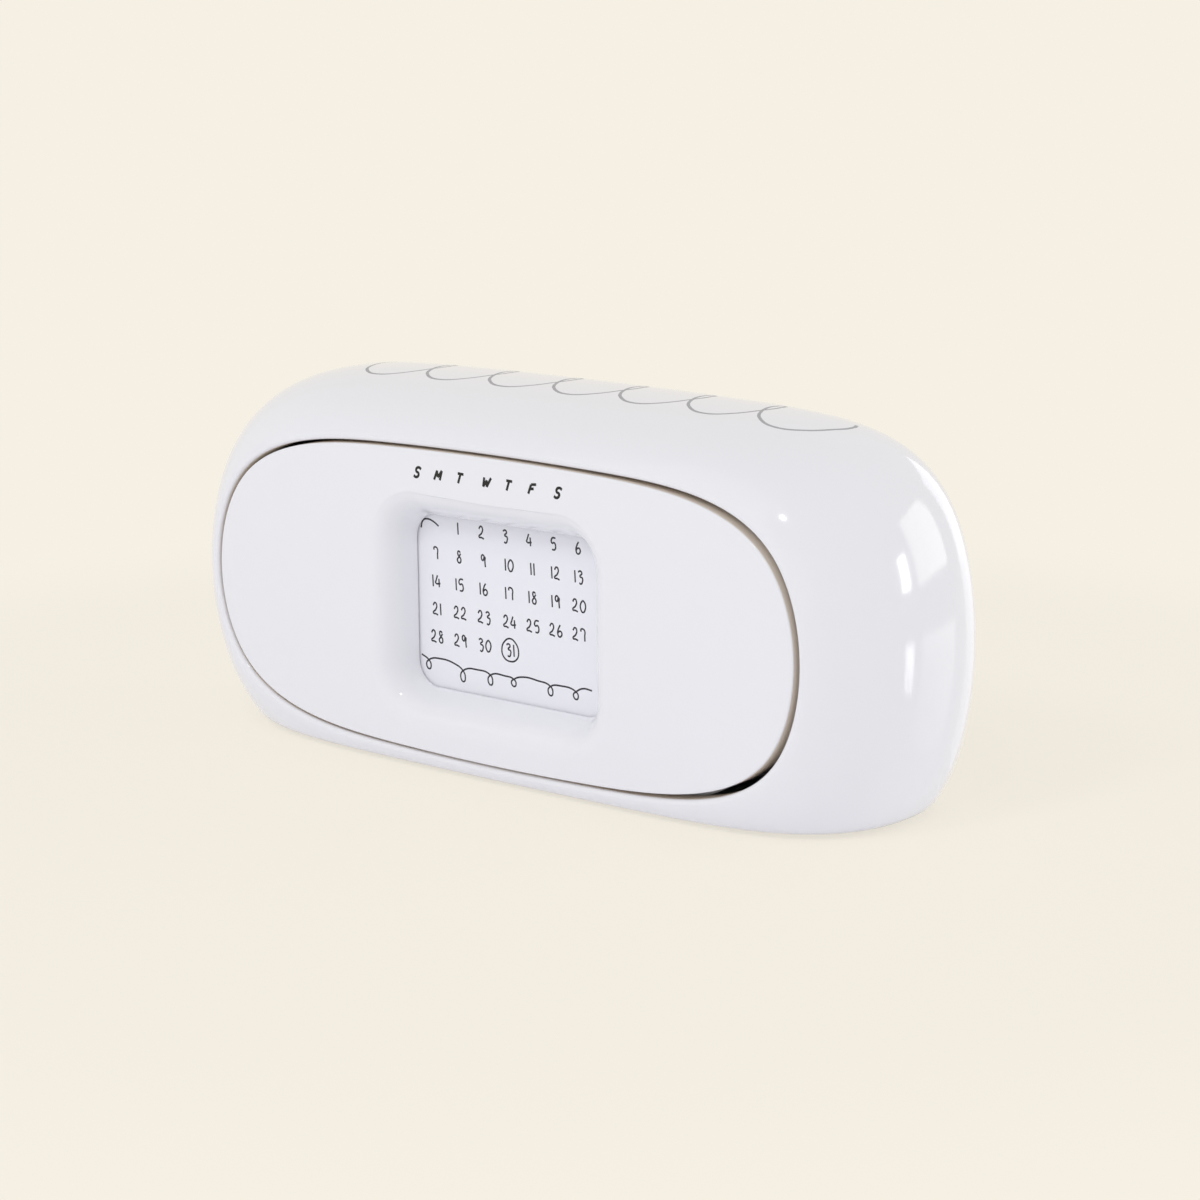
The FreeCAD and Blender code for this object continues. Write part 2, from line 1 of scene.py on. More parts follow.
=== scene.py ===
# %% [markdown]
# A desk calendar with a drawer, white and glossy like a pebble. This lesson loads the packed
# model as a fixed frame, then dresses it: smooth shells over the banded CAD forms, printed
# cards, rubber, steel and card finishes, and a plain studio round it.

# %% Load the frame
import json
import math

import bmesh
import bpy
from mathutils import Matrix, Vector
from mathutils.bvhtree import BVHTree


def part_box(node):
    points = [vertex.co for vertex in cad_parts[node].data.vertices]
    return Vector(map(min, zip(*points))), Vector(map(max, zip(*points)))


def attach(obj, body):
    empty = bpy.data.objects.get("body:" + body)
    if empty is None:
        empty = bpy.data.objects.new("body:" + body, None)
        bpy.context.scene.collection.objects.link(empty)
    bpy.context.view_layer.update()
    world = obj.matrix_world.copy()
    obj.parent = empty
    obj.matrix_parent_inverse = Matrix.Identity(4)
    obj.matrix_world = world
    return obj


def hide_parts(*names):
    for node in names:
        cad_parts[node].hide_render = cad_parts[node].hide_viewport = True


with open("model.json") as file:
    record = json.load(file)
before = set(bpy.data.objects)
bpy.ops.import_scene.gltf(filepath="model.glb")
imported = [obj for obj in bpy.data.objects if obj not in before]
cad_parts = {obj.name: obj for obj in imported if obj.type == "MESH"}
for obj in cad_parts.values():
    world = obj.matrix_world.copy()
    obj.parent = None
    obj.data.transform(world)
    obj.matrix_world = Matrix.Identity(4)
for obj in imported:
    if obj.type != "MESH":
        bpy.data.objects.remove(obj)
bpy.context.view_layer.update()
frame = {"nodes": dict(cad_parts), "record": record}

# %% [markdown]
# Every length below is in millimetres, as on a drawing, and becomes metres through one factor.
# The sizes are the same driving sizes as the construction's, so each shell lands on its solid.
# A few details differ from it on purpose, by little more than a millimetre at most: the mouth is
# squarer on the right, the wall of the recess runs straighter into the window, the flange of the
# window stands clear of the card, and the rim of the front is rounded.

# %% Sizes of the shells
MM = 0.001

PART_DEPTH = 64.5
FRONT_Y = -PART_DEPTH / 2
BASE_Z = 0.7
WALL = 2.4
FRONT_HALF_WIDTH = 90.0
FRONT_HALF_HEIGHT = 37.75
FRONT_SHARES = (0.90, 0.32)
CENTRE_Z = BASE_Z + 42.5
BOW_ACROSS = 1.6
BOW_UP = 1.2
HOUSING_HALF_WIDTH = 107.8
HOUSING_HALF_HEIGHT = 54.5
HOUSING_SHARES = (0.93, 0.50)
HOUSING_DROP = 3.2
FRONT_ROLL = 36.2
REAR_ROLL = 26.0
REAR_INSET = 17.0
MOUTH_SIDE_GAP = 1.2
MOUTH_UPRIGHT_GAP = 0.6
MOUTH_SHARES = (0.93, 0.36)
LIP_BACK = 1.9
LIP_ROUND = 1.0
LIP_WIDTH = 1.4
MOUTH_RIM = 7.0
COVER_RIM = 1.6
COVER_THICK = 2.4
COVER_LEDGE = 2.2
LEDGE_FRONT = PART_DEPTH - COVER_THICK - WALL
FLOOR_Z = BASE_Z + WALL


def place(x, depth, z):
    """A point in metres from its place across, its depth behind the crown, and its height."""
    return Vector((x, FRONT_Y + depth, z)) * MM


print("crown of the drawer front, mm from the middle:", FRONT_Y)

# %% [markdown]
# The camera comes first, because everything after it is judged through it. A camera fit to the
# outline of the drawer front and the spacing of the printed numbers gave these values: the lens
# looks at the crown of the drawer front from the right and a little above.

# %% Camera
AZIMUTH = math.radians(39.1)
ELEVATION = math.radians(12.8)
ROLL = math.radians(-0.45)
FOCAL_PIXELS = 3297.3
IMAGE_PIXELS = 1200
CAMERA_DISTANCE = 787.7
AIM_RIGHT = -28.1
AIM_UP = -3.43
SENSOR_WIDTH = 36.0
NEAREST = 0.05

back = Vector((
    math.sin(AZIMUTH) * math.cos(ELEVATION),
    -math.cos(AZIMUTH) * math.cos(ELEVATION),
    math.sin(ELEVATION),
))
level_right = Vector((math.cos(AZIMUTH), math.sin(AZIMUTH), 0))
level_up = back.cross(level_right)
right = level_right * math.cos(ROLL) + level_up * math.sin(ROLL)
up = level_up * math.cos(ROLL) - level_right * math.sin(ROLL)
spot = place(0, 0, CENTRE_Z) + (back * CAMERA_DISTANCE - right * AIM_RIGHT - up * AIM_UP) * MM

lens = bpy.data.cameras.new("studio_camera")
lens.sensor_width = SENSOR_WIDTH
lens.lens = SENSOR_WIDTH * FOCAL_PIXELS / IMAGE_PIXELS
lens.clip_start = NEAREST
camera = bpy.data.objects.new("studio_camera", lens)
bpy.context.collection.objects.link(camera)
axes = Matrix((right, up, back)).transposed()
camera.matrix_world = Matrix.Translation(spot) @ axes.to_4x4()
bpy.context.scene.camera = camera
bpy.context.scene.view_settings.view_transform = "Standard"
print("camera lens, mm:", round(lens.lens, 1))

# %% [markdown]
# Materials are node graphs. One small function adds a node with its settings and links, and one
# function turns the sRGB hex colours that designers use into Blender's linear colours.

# %% Colour helper
def linear(hex_colour):
    """An sRGB hex colour as a linear RGBA value."""
    shares = [int(hex_colour[i:i + 2], 16) / 255 for i in (1, 3, 5)]
    curved = [s / 12.92 if s <= 0.04045 else ((s + 0.055) / 1.055) ** 2.4 for s in shares]
    return (*curved, 1.0)


print("middle grey in linear light:", round(linear("#808080")[0], 3))


# %% Node helper and plain finishes
GRAIN_DETAIL = 2.0


def node(tree, kind, links=(), **settings):
    """Adds one node. Settings name its sockets or properties, and links join sockets to it."""
    made = tree.nodes.new(kind)
    for name, value in settings.items():
        socket = made.inputs.get(name.replace("_", " "))
        if socket is not None:
            socket.default_value = value
        else:
            setattr(made, name, value)
    for name, source in dict(links).items():
        tree.links.new(source, made.inputs[name])
    return made


def finish(name, colour, roughness, ior, bump_mm, grain_mm, metallic=0.0):
    """A finish with a fine surface bump, whose grain has a real size."""
    material = bpy.data.materials.new(name)
    material.use_nodes = True
    tree = material.node_tree
    shader = tree.nodes["Principled BSDF"]
    shader.inputs["Base Color"].default_value = linear(colour)
    shader.inputs["Roughness"].default_value = roughness
    shader.inputs["IOR"].default_value = ior
    shader.inputs["Metallic"].default_value = metallic
    coordinates = node(tree, "ShaderNodeTexCoord")
    grain = node(
        tree, "ShaderNodeTexNoise", {"Vector": coordinates.outputs["Object"]},
        Scale=1 / (grain_mm * MM), Detail=GRAIN_DETAIL,
    )
    bump = node(
        tree, "ShaderNodeBump", {"Height": grain.outputs["Fac"]},
        Distance=bump_mm * MM, Strength=1.0,
    )
    tree.links.new(bump.outputs["Normal"], shader.inputs["Normal"])
    return material


# %% [markdown]
# The housing and the drawer front are injection-moulded ABS from a polished tool. That gives a
# clean white body, a clear sharp reflection with an IOR of about 1.54, and the faint long waves
# of a real moulding, a few centimetres apart and a few microns high. The walls of the seam come
# from an unpolished part of the tool, so they are duller. Their warm, darker colour is painted
# shade, standing for the brownish shade inside the gap. The parts inside are spark-eroded ABS,
# which is finely matt, and the rails are natural nylon, a little yellow and waxy.

# %% Plastics
PLASTIC_IOR = 1.54
MATT_GRAIN = {"bump_mm": 0.01, "grain_mm": 0.8}

gloss_abs = finish(
    "polished_white_abs", "#EAEAEF", roughness=0.10, ior=PLASTIC_IOR, bump_mm=0.004, grain_mm=16.0,
)
# Painted shade: the warm grey colour of the seam walls stands for the brownish shade in the gap; only
# their higher roughness is real.
painted_shade_seam_abs = finish(
    "unpolished_abs_with_painted_warm_shade", "#E3D9CE", roughness=0.45, ior=PLASTIC_IOR, **MATT_GRAIN,
)
satin_abs = finish("satin_white_abs", "#E6E6EA", roughness=0.38, ior=PLASTIC_IOR, **MATT_GRAIN)
nylon = finish("natural_nylon", "#DEDCD4", roughness=0.45, ior=1.53, bump_mm=0.01, grain_mm=0.6)
print("plastics:", [made.name for made in (gloss_abs, painted_shade_seam_abs, satin_abs, nylon)])

# %% [markdown]
# Feet and bumpers are moulded rubber, mid grey and dull. The cards are smooth coated stock, nearly
# white, whose fibres are far too fine to see, so the grain stands only for a soft tooth. Ink lies
# on the card as a thin film, and the print on plastic is a deeper black. The screws are
# zinc-plated steel, a light grey metal whose plating blurs what it mirrors.

# %% Rubber, card, ink and steel
rubber = finish(
    "grey_moulded_rubber", "#6A6A6C", roughness=0.80, ior=1.52, bump_mm=0.03, grain_mm=0.5,
)
card_stock = finish(
    "smooth_white_card", "#EBEBF2", roughness=0.65, ior=1.45, bump_mm=0.006, grain_mm=0.25,
)
print_ink = finish(
    "black_print_ink", "#24242E", roughness=0.55, ior=1.48, bump_mm=0.004, grain_mm=0.25,
)
grey_ink = finish(
    "grey_print_ink", "#A4A4A9", roughness=0.45, ior=1.48, bump_mm=0.002, grain_mm=0.4,
)
black_pad_print = finish(
    "black_pad_print", "#050508", roughness=0.45, ior=1.5, bump_mm=0.002, grain_mm=0.4,
)
zinc = finish(
    "zinc_plated_steel", "#B9BABD", roughness=0.34, ior=1.5, bump_mm=0.004, grain_mm=0.4,
    metallic=1.0,
)
others = (rubber, card_stock, print_ink, grey_ink, black_pad_print, zinc)
print("other finishes:", [made.name for made in others])

# %% [markdown]
# The record of the part names a finish for every piece, called its slot. Every piece of the
# construction gets the finish of its slot first, and the pieces drawn below then stand in for
# some of them.

# %% Finishes of the construction
finish_of_slot = {
    "gloss_white_abs": gloss_abs,
    "inner_white_abs": satin_abs,
    "rail_nylon": nylon,
    "grey_rubber": rubber,
    "zinc_steel": zinc,
    "printed_card": card_stock,
}
slot_of_node = {part["node"]: part["material_slot"] for part in frame["record"]["subparts"]}
for name, made in frame["nodes"].items():
    made.data.materials.clear()
    made.data.materials.append(finish_of_slot[slot_of_node[name]])
print("dressed nodes:", len(frame["nodes"]))

# %% [markdown]
# The outline of this product is an oval that is neither an ellipse nor a rounded box. A cubic
# curve of equal spans over eight poles draws it: two shares say how far the poles stand up the
# sides and out along the top. The same kind of oval shaped the solids.

# %% The oval
NEAR_POLE = 23 / 24
FAR_POLE = 1 / 24
HALF_SPAN = 0.5


def oval_poles(half_width, half_height, side_share, top_share):
    """The eight poles of an oval that is just as wide and high as asked."""
    x = half_width / (NEAR_POLE + FAR_POLE * top_share)
    z = half_height / (NEAR_POLE + FAR_POLE * side_share)
    quarter = [(x, z * side_share), (x * top_share, z)]
    upper = quarter + [(-a, b) for a, b in quarter[::-1]]
    return upper + [(-a, -b) for a, b in upper]


def oval_point(turn, half_width, half_height, shares):
    """The point of the oval at a turn from 0 to 1 round it."""
    poles = oval_poles(half_width, half_height, *shares)
    span, t = divmod(turn * len(poles) + len(poles) - 1 - HALF_SPAN, 1)
    weights = (
        (1 - t) ** 3 / 6,
        (3 * t ** 3 - 6 * t ** 2 + 4) / 6,
        (1 + 3 * t + 3 * t ** 2 - 3 * t ** 3) / 6,
        t ** 3 / 6,
    )
    near = [poles[(int(span) + i) % len(poles)] for i in range(4)]
    return [sum(w * p[axis] for w, p in zip(weights, near)) for axis in (0, 1)]


oval_side = oval_point(0, FRONT_HALF_WIDTH, FRONT_HALF_HEIGHT, FRONT_SHARES)
print("right end of the front's oval, mm:", [round(v, 2) for v in oval_side])

# %% [markdown]
# A shell is drawn ring by ring. The first ring is a circle of loose edges, and each next one is
# extruded from the last and laid along its own outline. A number on every vertex says how far
# round the ring it stands, so each ring can ask its outline for the place of each vertex.

# %% Rings and shells
SHARP_DEGREES = 32.0


def first_ring(bm, count):
    """A circle of loose edges whose vertices remember their turn."""
    turns = bm.verts.layers.float.new("turn")
    made = bmesh.ops.create_circle(bm, segments=count, radius=1.0)
    for i, vertex in enumerate(made["verts"]):
        vertex[turns] = i / count
    return list(bm.edges)


def next_ring(bm, edges, point_at, finish_index=0):
    """Extrudes a ring of edges and lays the new ring along point_at(turn)."""
    turns = bm.verts.layers.float["turn"]
    made = bmesh.ops.extrude_edge_only(bm, edges=edges)["geom"]
    for piece in made:
        if isinstance(piece, bmesh.types.BMVert):
            piece.co = point_at(piece[turns])
        if isinstance(piece, bmesh.types.BMFace):
            piece.material_index = finish_index
    return [edge for edge in made if isinstance(edge, bmesh.types.BMEdge)]


def ring_shell(count, rings, second_finish_ring):
    """A closed shell through a list of rings, each a function of the turn.

    The band of faces that ends at the numbered ring gets the second finish of the piece.
    """
    bm = bmesh.new()
    edges = first_ring(bm, count)
    turns = bm.verts.layers.float["turn"]
    for vertex in bm.verts:
        vertex.co = rings[0](vertex[turns])
    opening = edges
    for i, point_at in enumerate(rings[1:], 1):
        edges = next_ring(bm, edges, point_at, int(i == second_finish_ring))
    bmesh.ops.bridge_loops(bm, edges=opening + edges)
    return bm


def finished(bm, name, material, body, sharp_degrees=SHARP_DEGREES):
    """Turns a bmesh into a smooth-shaded piece that rides on a body."""
    bmesh.ops.recalc_face_normals(bm, faces=bm.faces)
    mesh = bpy.data.meshes.new(name)
    bm.to_mesh(mesh)
    bm.free()
    mesh.shade_smooth()
    mesh.set_sharp_from_angle(angle=math.radians(sharp_degrees))
    mesh.materials.append(material)
    piece = bpy.data.objects.new(name, mesh)
    bpy.context.collection.objects.link(piece)
    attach(piece, body)
    print(name, "faces:", len(mesh.polygons))
    return piece


# %% [markdown]
# The housing is one moulding. Its surface rolls out of a rounded lip round the mouth to its widest
# outline and in again to the back, like a pebble, and is cut flat below. Here it is drawn as a
# closed tube of rings: out of the room inside, through the mouth, over the lip, round the
# outside, and into the ledge of the back cover. A soft maximum presses each ring flat on the
# base and leaves the softly rounded edge that the moulding has there.

# %% Rings of the housing
BASE_SOFTNESS = 3.0
FLOOR_SOFTNESS = 1.5
ROUND_COUNT = 240


def soft_floor(z, level, softness):
    """The larger of a height and a level, with a rounded change between them."""
    near = max(softness - abs(z - level), 0)
    return max(z, level) + near ** 2 / (4 * softness)


def mouth_shares(turn):
    """The shares of the mouth, squarer towards the right, where the seam is widest."""
    rightness = (1 + math.cos(2 * math.pi * turn)) / 2
    return [a + (b - a) * rightness for a, b in zip(FRONT_SHARES, MOUTH_SHARES)]


def housing_ring(grown, inset, depth, level=BASE_Z, softness=BASE_SOFTNESS):
    """One outline of the housing between the lip, grown 0, and the widest outline, grown 1."""
    kept = 1 - grown
    lip_half_width = FRONT_HALF_WIDTH + MOUTH_SIDE_GAP + LIP_WIDTH
    lip_half_height = FRONT_HALF_HEIGHT + MOUTH_UPRIGHT_GAP + LIP_WIDTH
    half_width = lip_half_width * kept + HOUSING_HALF_WIDTH * grown - inset
    half_height = lip_half_height * kept + HOUSING_HALF_HEIGHT * grown - inset
    middle = CENTRE_Z - HOUSING_DROP * grown

    def point_at(turn):
        shares = [a * kept + b * grown for a, b in zip(mouth_shares(turn), HOUSING_SHARES)]
        x, z = oval_point(turn, half_width, half_height, shares)
        return place(x, depth, soft_floor(middle + z, level, softness))
    return point_at


def front_ring(offset, depth):
    """The outline of the drawer front, grown all round, at one depth."""
    def point_at(turn):
        x, z = oval_point(
            turn, FRONT_HALF_WIDTH + offset, FRONT_HALF_HEIGHT + offset, FRONT_SHARES,
        )
        return place(x, depth, CENTRE_Z + z)
    return point_at


def mouth_ring(offset, depth):
    """The outline of the mouth, grown by an offset, at one depth."""
    half_width = FRONT_HALF_WIDTH + MOUTH_SIDE_GAP + offset
    half_height = FRONT_HALF_HEIGHT + MOUTH_UPRIGHT_GAP + offset

    def point_at(turn):
        x, z = oval_point(turn, half_width, half_height, mouth_shares(turn))
        return place(x, depth, CENTRE_Z + z)
    return point_at


print("mouth, mm wide:", round(2 * (FRONT_HALF_WIDTH + MOUTH_SIDE_GAP), 1))


# %% Rolls of the housing
LIP_ANGLE = math.asin((FRONT_ROLL - LIP_BACK) / FRONT_ROLL)


def grown_at(angle):
    """How far the outline has grown at an angle of the front roll: 0 at the lip, 1 at its end."""
    return 1 - (1 - math.cos(angle)) / (1 - math.cos(LIP_ANGLE))


def front_roll(thickness, first_depth, steps, **floor):
    """The rings from the lip to the widest outline, on a surface set in by a thickness."""
    reach = FRONT_ROLL - thickness
    start = math.asin((FRONT_ROLL - first_depth) / reach)
    rings = []
    for i in range(steps + 1):
        angle = start * (1 - i / steps)
        depth = FRONT_ROLL - reach * math.sin(angle)
        rings.append(housing_ring(grown_at(angle), thickness * math.cos(angle), depth, **floor))
    return rings


def rear_roll(thickness, last_depth, steps, **floor):
    """The rings from the widest outline to the back, on a surface set in by a thickness."""
    reach = REAR_ROLL - thickness
    begin = PART_DEPTH - REAR_ROLL
    end = math.asin(min(1, (last_depth - begin) / reach))
    rings = []
    for i in range(steps + 1):
        angle = end * i / steps
        inset = REAR_INSET * (1 - math.cos(angle)) + thickness * math.cos(angle)
        rings.append(housing_ring(1.0, inset, begin + reach * math.sin(angle), **floor))
    return rings


print("angle at the lip, degrees:", round(math.degrees(LIP_ANGLE), 1))

# %% The housing shell
ROLL_STEPS = 22
LIP_STEPS = 6
INNER_REAR_STEPS = 8
INNER_FRONT_STEPS = 10

cover_half_width = HOUSING_HALF_WIDTH - REAR_INSET - COVER_RIM
cover_top = CENTRE_Z - HOUSING_DROP + HOUSING_HALF_HEIGHT - REAR_INSET - COVER_RIM
cover_bottom = BASE_Z + COVER_RIM
opening_top = cover_top - COVER_LEDGE


def cover_ring(half_width, bottom, top, depth, level):
    """An outline of the opening for the back cover, cut flat at a level."""
    def point_at(turn):
        x, z = oval_point(turn, half_width, (top - bottom) / 2, HOUSING_SHARES)
        return place(x, depth, max((top + bottom) / 2 + z, level))
    return point_at


inside = {"level": FLOOR_Z, "softness": FLOOR_SOFTNESS}
rings = rear_roll(WALL, LEDGE_FRONT, INNER_REAR_STEPS, **inside)[::-1]
rings += front_roll(WALL, MOUTH_RIM, INNER_FRONT_STEPS, **inside)[::-1]
rings += [mouth_ring(0, MOUTH_RIM)]
mouth_wall = len(rings)
for i in range(LIP_STEPS + 1):
    angle = math.pi / 2 * (1 - i / LIP_STEPS)
    lip_depth = LIP_BACK + LIP_ROUND * (1 - math.cos(angle))
    rings.append(mouth_ring(LIP_ROUND * (1 - math.sin(angle)), lip_depth))
rings += front_roll(0, LIP_BACK, ROLL_STEPS)
rings += rear_roll(0, PART_DEPTH, ROLL_STEPS)
rear_depth = PART_DEPTH - COVER_THICK
rings += [
    cover_ring(cover_half_width, cover_bottom, cover_top, PART_DEPTH, cover_bottom),
    cover_ring(cover_half_width, cover_bottom, cover_top, rear_depth, cover_bottom),
    cover_ring(cover_half_width - COVER_LEDGE, BASE_Z, opening_top, rear_depth, FLOOR_Z),
    cover_ring(cover_half_width - COVER_LEDGE, BASE_Z, opening_top, LEDGE_FRONT, FLOOR_Z),
]
bm = ring_shell(ROUND_COUNT, rings, mouth_wall)
housing_shell = finished(bm, "housing_shell", gloss_abs, "housing_body")
# The wall of the mouth takes the seam finish, whose warm grey colour is painted shade.
housing_shell.data.materials.append(painted_shade_seam_abs)
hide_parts("housing")

# %% [markdown]
# The drawer front is the second gloss moulding. Its face bows a little both ways, a flared recess
# runs in to the window, and a skirt behind the rim carries it into the mouth. One closed run of
# rings draws it: window, recess, face, rim, skirt, the inner side, and the flange that the card
# lies on. The soft roll at the mouth of the recess is the part that light picks out first.
#
# The wall of the recess follows a cubic curve from the face to the window. Three shares say how
# far in it stands at its first three poles, and one how deep it is at the third. The first of
# them is below zero, so the recess flares out over the face, less and less towards its top.

# %% Sizes of the drawer front
RECESS_HALF_WIDTH = 35.5
RECESS_HALF_HEIGHT = 28.5
RECESS_CORNER = 13.0
RECESS_DEPTH = 10.8
RECESS_WALL = 1.8
WINDOW_HALF_WIDTH = 30.0
WINDOW_HALF_HEIGHT = 21.8
WINDOW_CORNER = 6.5
WINDOW_Z = CENTRE_Z - 1.9
WINDOW_FLANGE = 6.0
FLANGE_THICK = 1.5
FLANGE_LIFT = 0.4
WINDOW_RIM = 0.5
FRONT_SKIN = 2.4
SKIRT_DEPTH = 8.0
SKIRT_WALL = 2.0
EDGE_ROUND = 0.5
FLARE_START_SHARE = -0.35
FLARE_LEAN_SHARE = 0.35
FLARE_FLAT_SHARE = 0.72
FLARE_STEEP_SHARE = 0.45
UPPER_FADE = 2

print("window, mm:", 2 * WINDOW_HALF_WIDTH, "by", 2 * WINDOW_HALF_HEIGHT)


# %% Bow and corners
def bow(x, z):
    """How far the bowed face lies behind its crown."""
    across = x / FRONT_HALF_WIDTH
    rise = (z - CENTRE_Z) / FRONT_HALF_HEIGHT
    return BOW_ACROSS * across ** 2 + BOW_UP * rise ** 2


def rounded_box_point(turn, half_width, half_height, corner):
    """The point of a rounded box at a share of each quarter of its outline."""
    quarter, share = divmod(turn * 4, 1)
    backward = int(quarter) % 2 == 1
    upright = half_height - corner
    level = half_width - corner
    along = (1 - share if backward else share) * (upright + level + corner * math.pi / 2)
    angle = min(max((along - upright) / corner, 0), math.pi / 2)
    x = half_width - corner * (1 - math.cos(angle)) - max(along - upright - corner * math.pi / 2, 0)
    z = min(along, upright) + corner * math.sin(angle)
    side = -1 if int(quarter) in (1, 2) else 1
    rise = -1 if int(quarter) in (2, 3) else 1
    return side * x, rise * z


print("bow at the side of the face, mm:", bow(FRONT_HALF_WIDTH, CENTRE_Z))


# %% Rings of the recess
def flare(t):
    """Shares of the inset and the depth along the recess wall, from the face to the window."""
    inset = FLARE_START_SHARE * (1 - t) ** 3 + 3 * FLARE_LEAN_SHARE * t * (1 - t) ** 2
    inset += 3 * FLARE_FLAT_SHARE * t ** 2 * (1 - t) + t ** 3
    return inset, 3 * FLARE_STEEP_SHARE * t ** 2 * (1 - t) + t ** 3


def recess_point(turn, inset, offset):
    """A point of the recess wall. Its upper edge is crisp, because nothing flares out there."""
    upper = turn < 0.5
    if upper:
        inset = max(inset, 0) + min(inset, 0) * abs(math.cos(2 * math.pi * turn)) ** UPPER_FADE
    x, z = rounded_box_point(
        turn,
        RECESS_HALF_WIDTH + (WINDOW_HALF_WIDTH - RECESS_HALF_WIDTH) * inset + offset,
        RECESS_HALF_HEIGHT + (WINDOW_HALF_HEIGHT - RECESS_HALF_HEIGHT) * inset + offset,
        RECESS_CORNER + (WINDOW_CORNER - RECESS_CORNER) * inset + offset,
    )
    return x, WINDOW_Z + z


def recess_ring(t, offset=0.0, set_back=0.0, deepest=RECESS_DEPTH):
    """A ring of the recess wall, or with an offset of its rear side, no deeper than a limit."""
    inset, depth = flare(t)

    def point_at(turn):
        x, z = recess_point(turn, inset, offset)
        face = (bow(x, z) + set_back) * (1 - depth)
        return place(x, min(face + (RECESS_DEPTH - FLANGE_LIFT - WINDOW_RIM) * depth, deepest), z)
    return point_at


print("recess mouth at the right, mm:", round(recess_point(0, FLARE_START_SHARE, 0)[0], 1))


# %% Rings of the face and the rim
def face_ring(share, edge_offset, recess_offset, set_back):
    """A ring of the face between the recess mouth, share 0, and the rim, share 1."""
    def point_at(turn):
        near_x, near_z = recess_point(turn, FLARE_START_SHARE, recess_offset)
        far_x, far_z = oval_point(
            turn, FRONT_HALF_WIDTH + edge_offset, FRONT_HALF_HEIGHT + edge_offset, FRONT_SHARES,
        )
        x = near_x + (far_x - near_x) * share
        z = near_z + (CENTRE_Z + far_z - near_z) * share
        return place(x, bow(x, z) + set_back, z)
    return point_at


def edge_ring(angle):
    """The rim of the face, rounded from the face at angle 0 to the side at a quarter turn."""
    inner = face_ring(1.0, -EDGE_ROUND, 0, 0)
    outer = face_ring(1.0, 0, 0, 0)

    def point_at(turn):
        point = inner(turn).lerp(outer(turn), math.sin(angle))
        point.y += EDGE_ROUND * (1 - math.cos(angle)) * MM
        return point
    return point_at


def box_ring(grow, depth):
    """The outline of the window, grown all round, at one depth."""
    def point_at(turn):
        x, z = rounded_box_point(
            turn, WINDOW_HALF_WIDTH + grow, WINDOW_HALF_HEIGHT + grow, WINDOW_CORNER + grow,
        )
        return place(x, depth, WINDOW_Z + z)
    return point_at


print("rim rounded by, mm:", EDGE_ROUND)

# %% The drawer front shell
RECESS_STEPS = 30
FACE_STEPS = 16
EDGE_STEPS = 4

window_depth = RECESS_DEPTH - FLANGE_LIFT
rings = [box_ring(0, window_depth)]
rings += [recess_ring(1 - i / RECESS_STEPS) for i in range(RECESS_STEPS + 1)]
rings += [face_ring(i / FACE_STEPS, -EDGE_ROUND, 0, 0) for i in range(1, FACE_STEPS + 1)]
rings += [edge_ring(math.pi / 2 * i / EDGE_STEPS) for i in range(1, EDGE_STEPS + 1)]
skirt_side = len(rings)
rings += [front_ring(0, SKIRT_DEPTH), front_ring(-SKIRT_WALL, SKIRT_DEPTH)]
rings += [
    face_ring(1 - i / FACE_STEPS, -SKIRT_WALL, RECESS_WALL, FRONT_SKIN)
    for i in range(FACE_STEPS + 1)
]
inner_depth = RECESS_DEPTH - FLANGE_THICK
rings += [
    recess_ring(i / RECESS_STEPS, RECESS_WALL, FRONT_SKIN, inner_depth)
    for i in range(1, RECESS_STEPS)
]
rings += [box_ring(WINDOW_FLANGE, inner_depth), box_ring(WINDOW_FLANGE, window_depth)]
bm = ring_shell(ROUND_COUNT, rings, skirt_side)
front_shell = finished(bm, "drawer_front_shell", gloss_abs, "drawer")
# The sides of the skirt take the seam finish, whose warm grey colour is painted shade.
front_shell.data.materials.append(painted_shade_seam_abs)
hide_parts("drawer_front")

# %% [markdown]
# The bosses behind the drawer front take the screws of the tray and of the card pocket. They are
# plain posts with a pilot hole, part of the same moulding. A cone operator makes the post, an
# inset and an extrusion sink the hole. Sizes of a post are its radius, and the hole's radius and
# depth.

# %% Posts with a pilot hole
TRAY_POST = {"radius": 3.5, "hole_radius": 1.25, "hole_depth": 7.0}
POCKET_POST = {"radius": 2.8, "hole_radius": 1.0, "hole_depth": 5.0}
TRAY_SCREW_ACROSS = 62.0
TRAY_SCREW_UP = 18.0
TRAY_START = 16.0
POCKET_SCREW_ACROSS = 41.5
POCKET_SCREW_UP = 16.0
POST_SEGMENTS = 32


def corners(across, up, middle_z):
    """Four places about a middle height, across and up in millimetres."""
    return [(sx * across, middle_z + sz * up) for sx in (-1, 1) for sz in (-1, 1)]


def add_post(bm, x, z, first_depth, last_depth, radius, hole_radius, hole_depth):
    """A round post that runs back from the skin, with a hole in its rear end."""
    made = bmesh.ops.create_cone(
        bm, cap_ends=True, segments=POST_SEGMENTS, radius1=radius * MM, radius2=radius * MM,
        depth=(last_depth - first_depth) * MM,
    )["verts"]
    bmesh.ops.rotate(bm, verts=made, matrix=Matrix.Rotation(-math.pi / 2, 3, "X"))
    bmesh.ops.translate(bm, verts=made, vec=place(x, (first_depth + last_depth) / 2, z))
    faces = {face for vertex in made for face in vertex.link_faces}
    rear = max(faces, key=lambda face: face.calc_center_median().y)
    bmesh.ops.inset_region(bm, faces=[rear], thickness=(radius - hole_radius) * MM)
    floor = bmesh.ops.extrude_face_region(bm, geom=[rear])["geom"]
    bmesh.ops.delete(bm, geom=[rear], context="FACES_ONLY")
    moved = [v for v in floor if isinstance(v, bmesh.types.BMVert)]
    bmesh.ops.translate(bm, verts=moved, vec=Vector((0, -hole_depth, 0)) * MM)


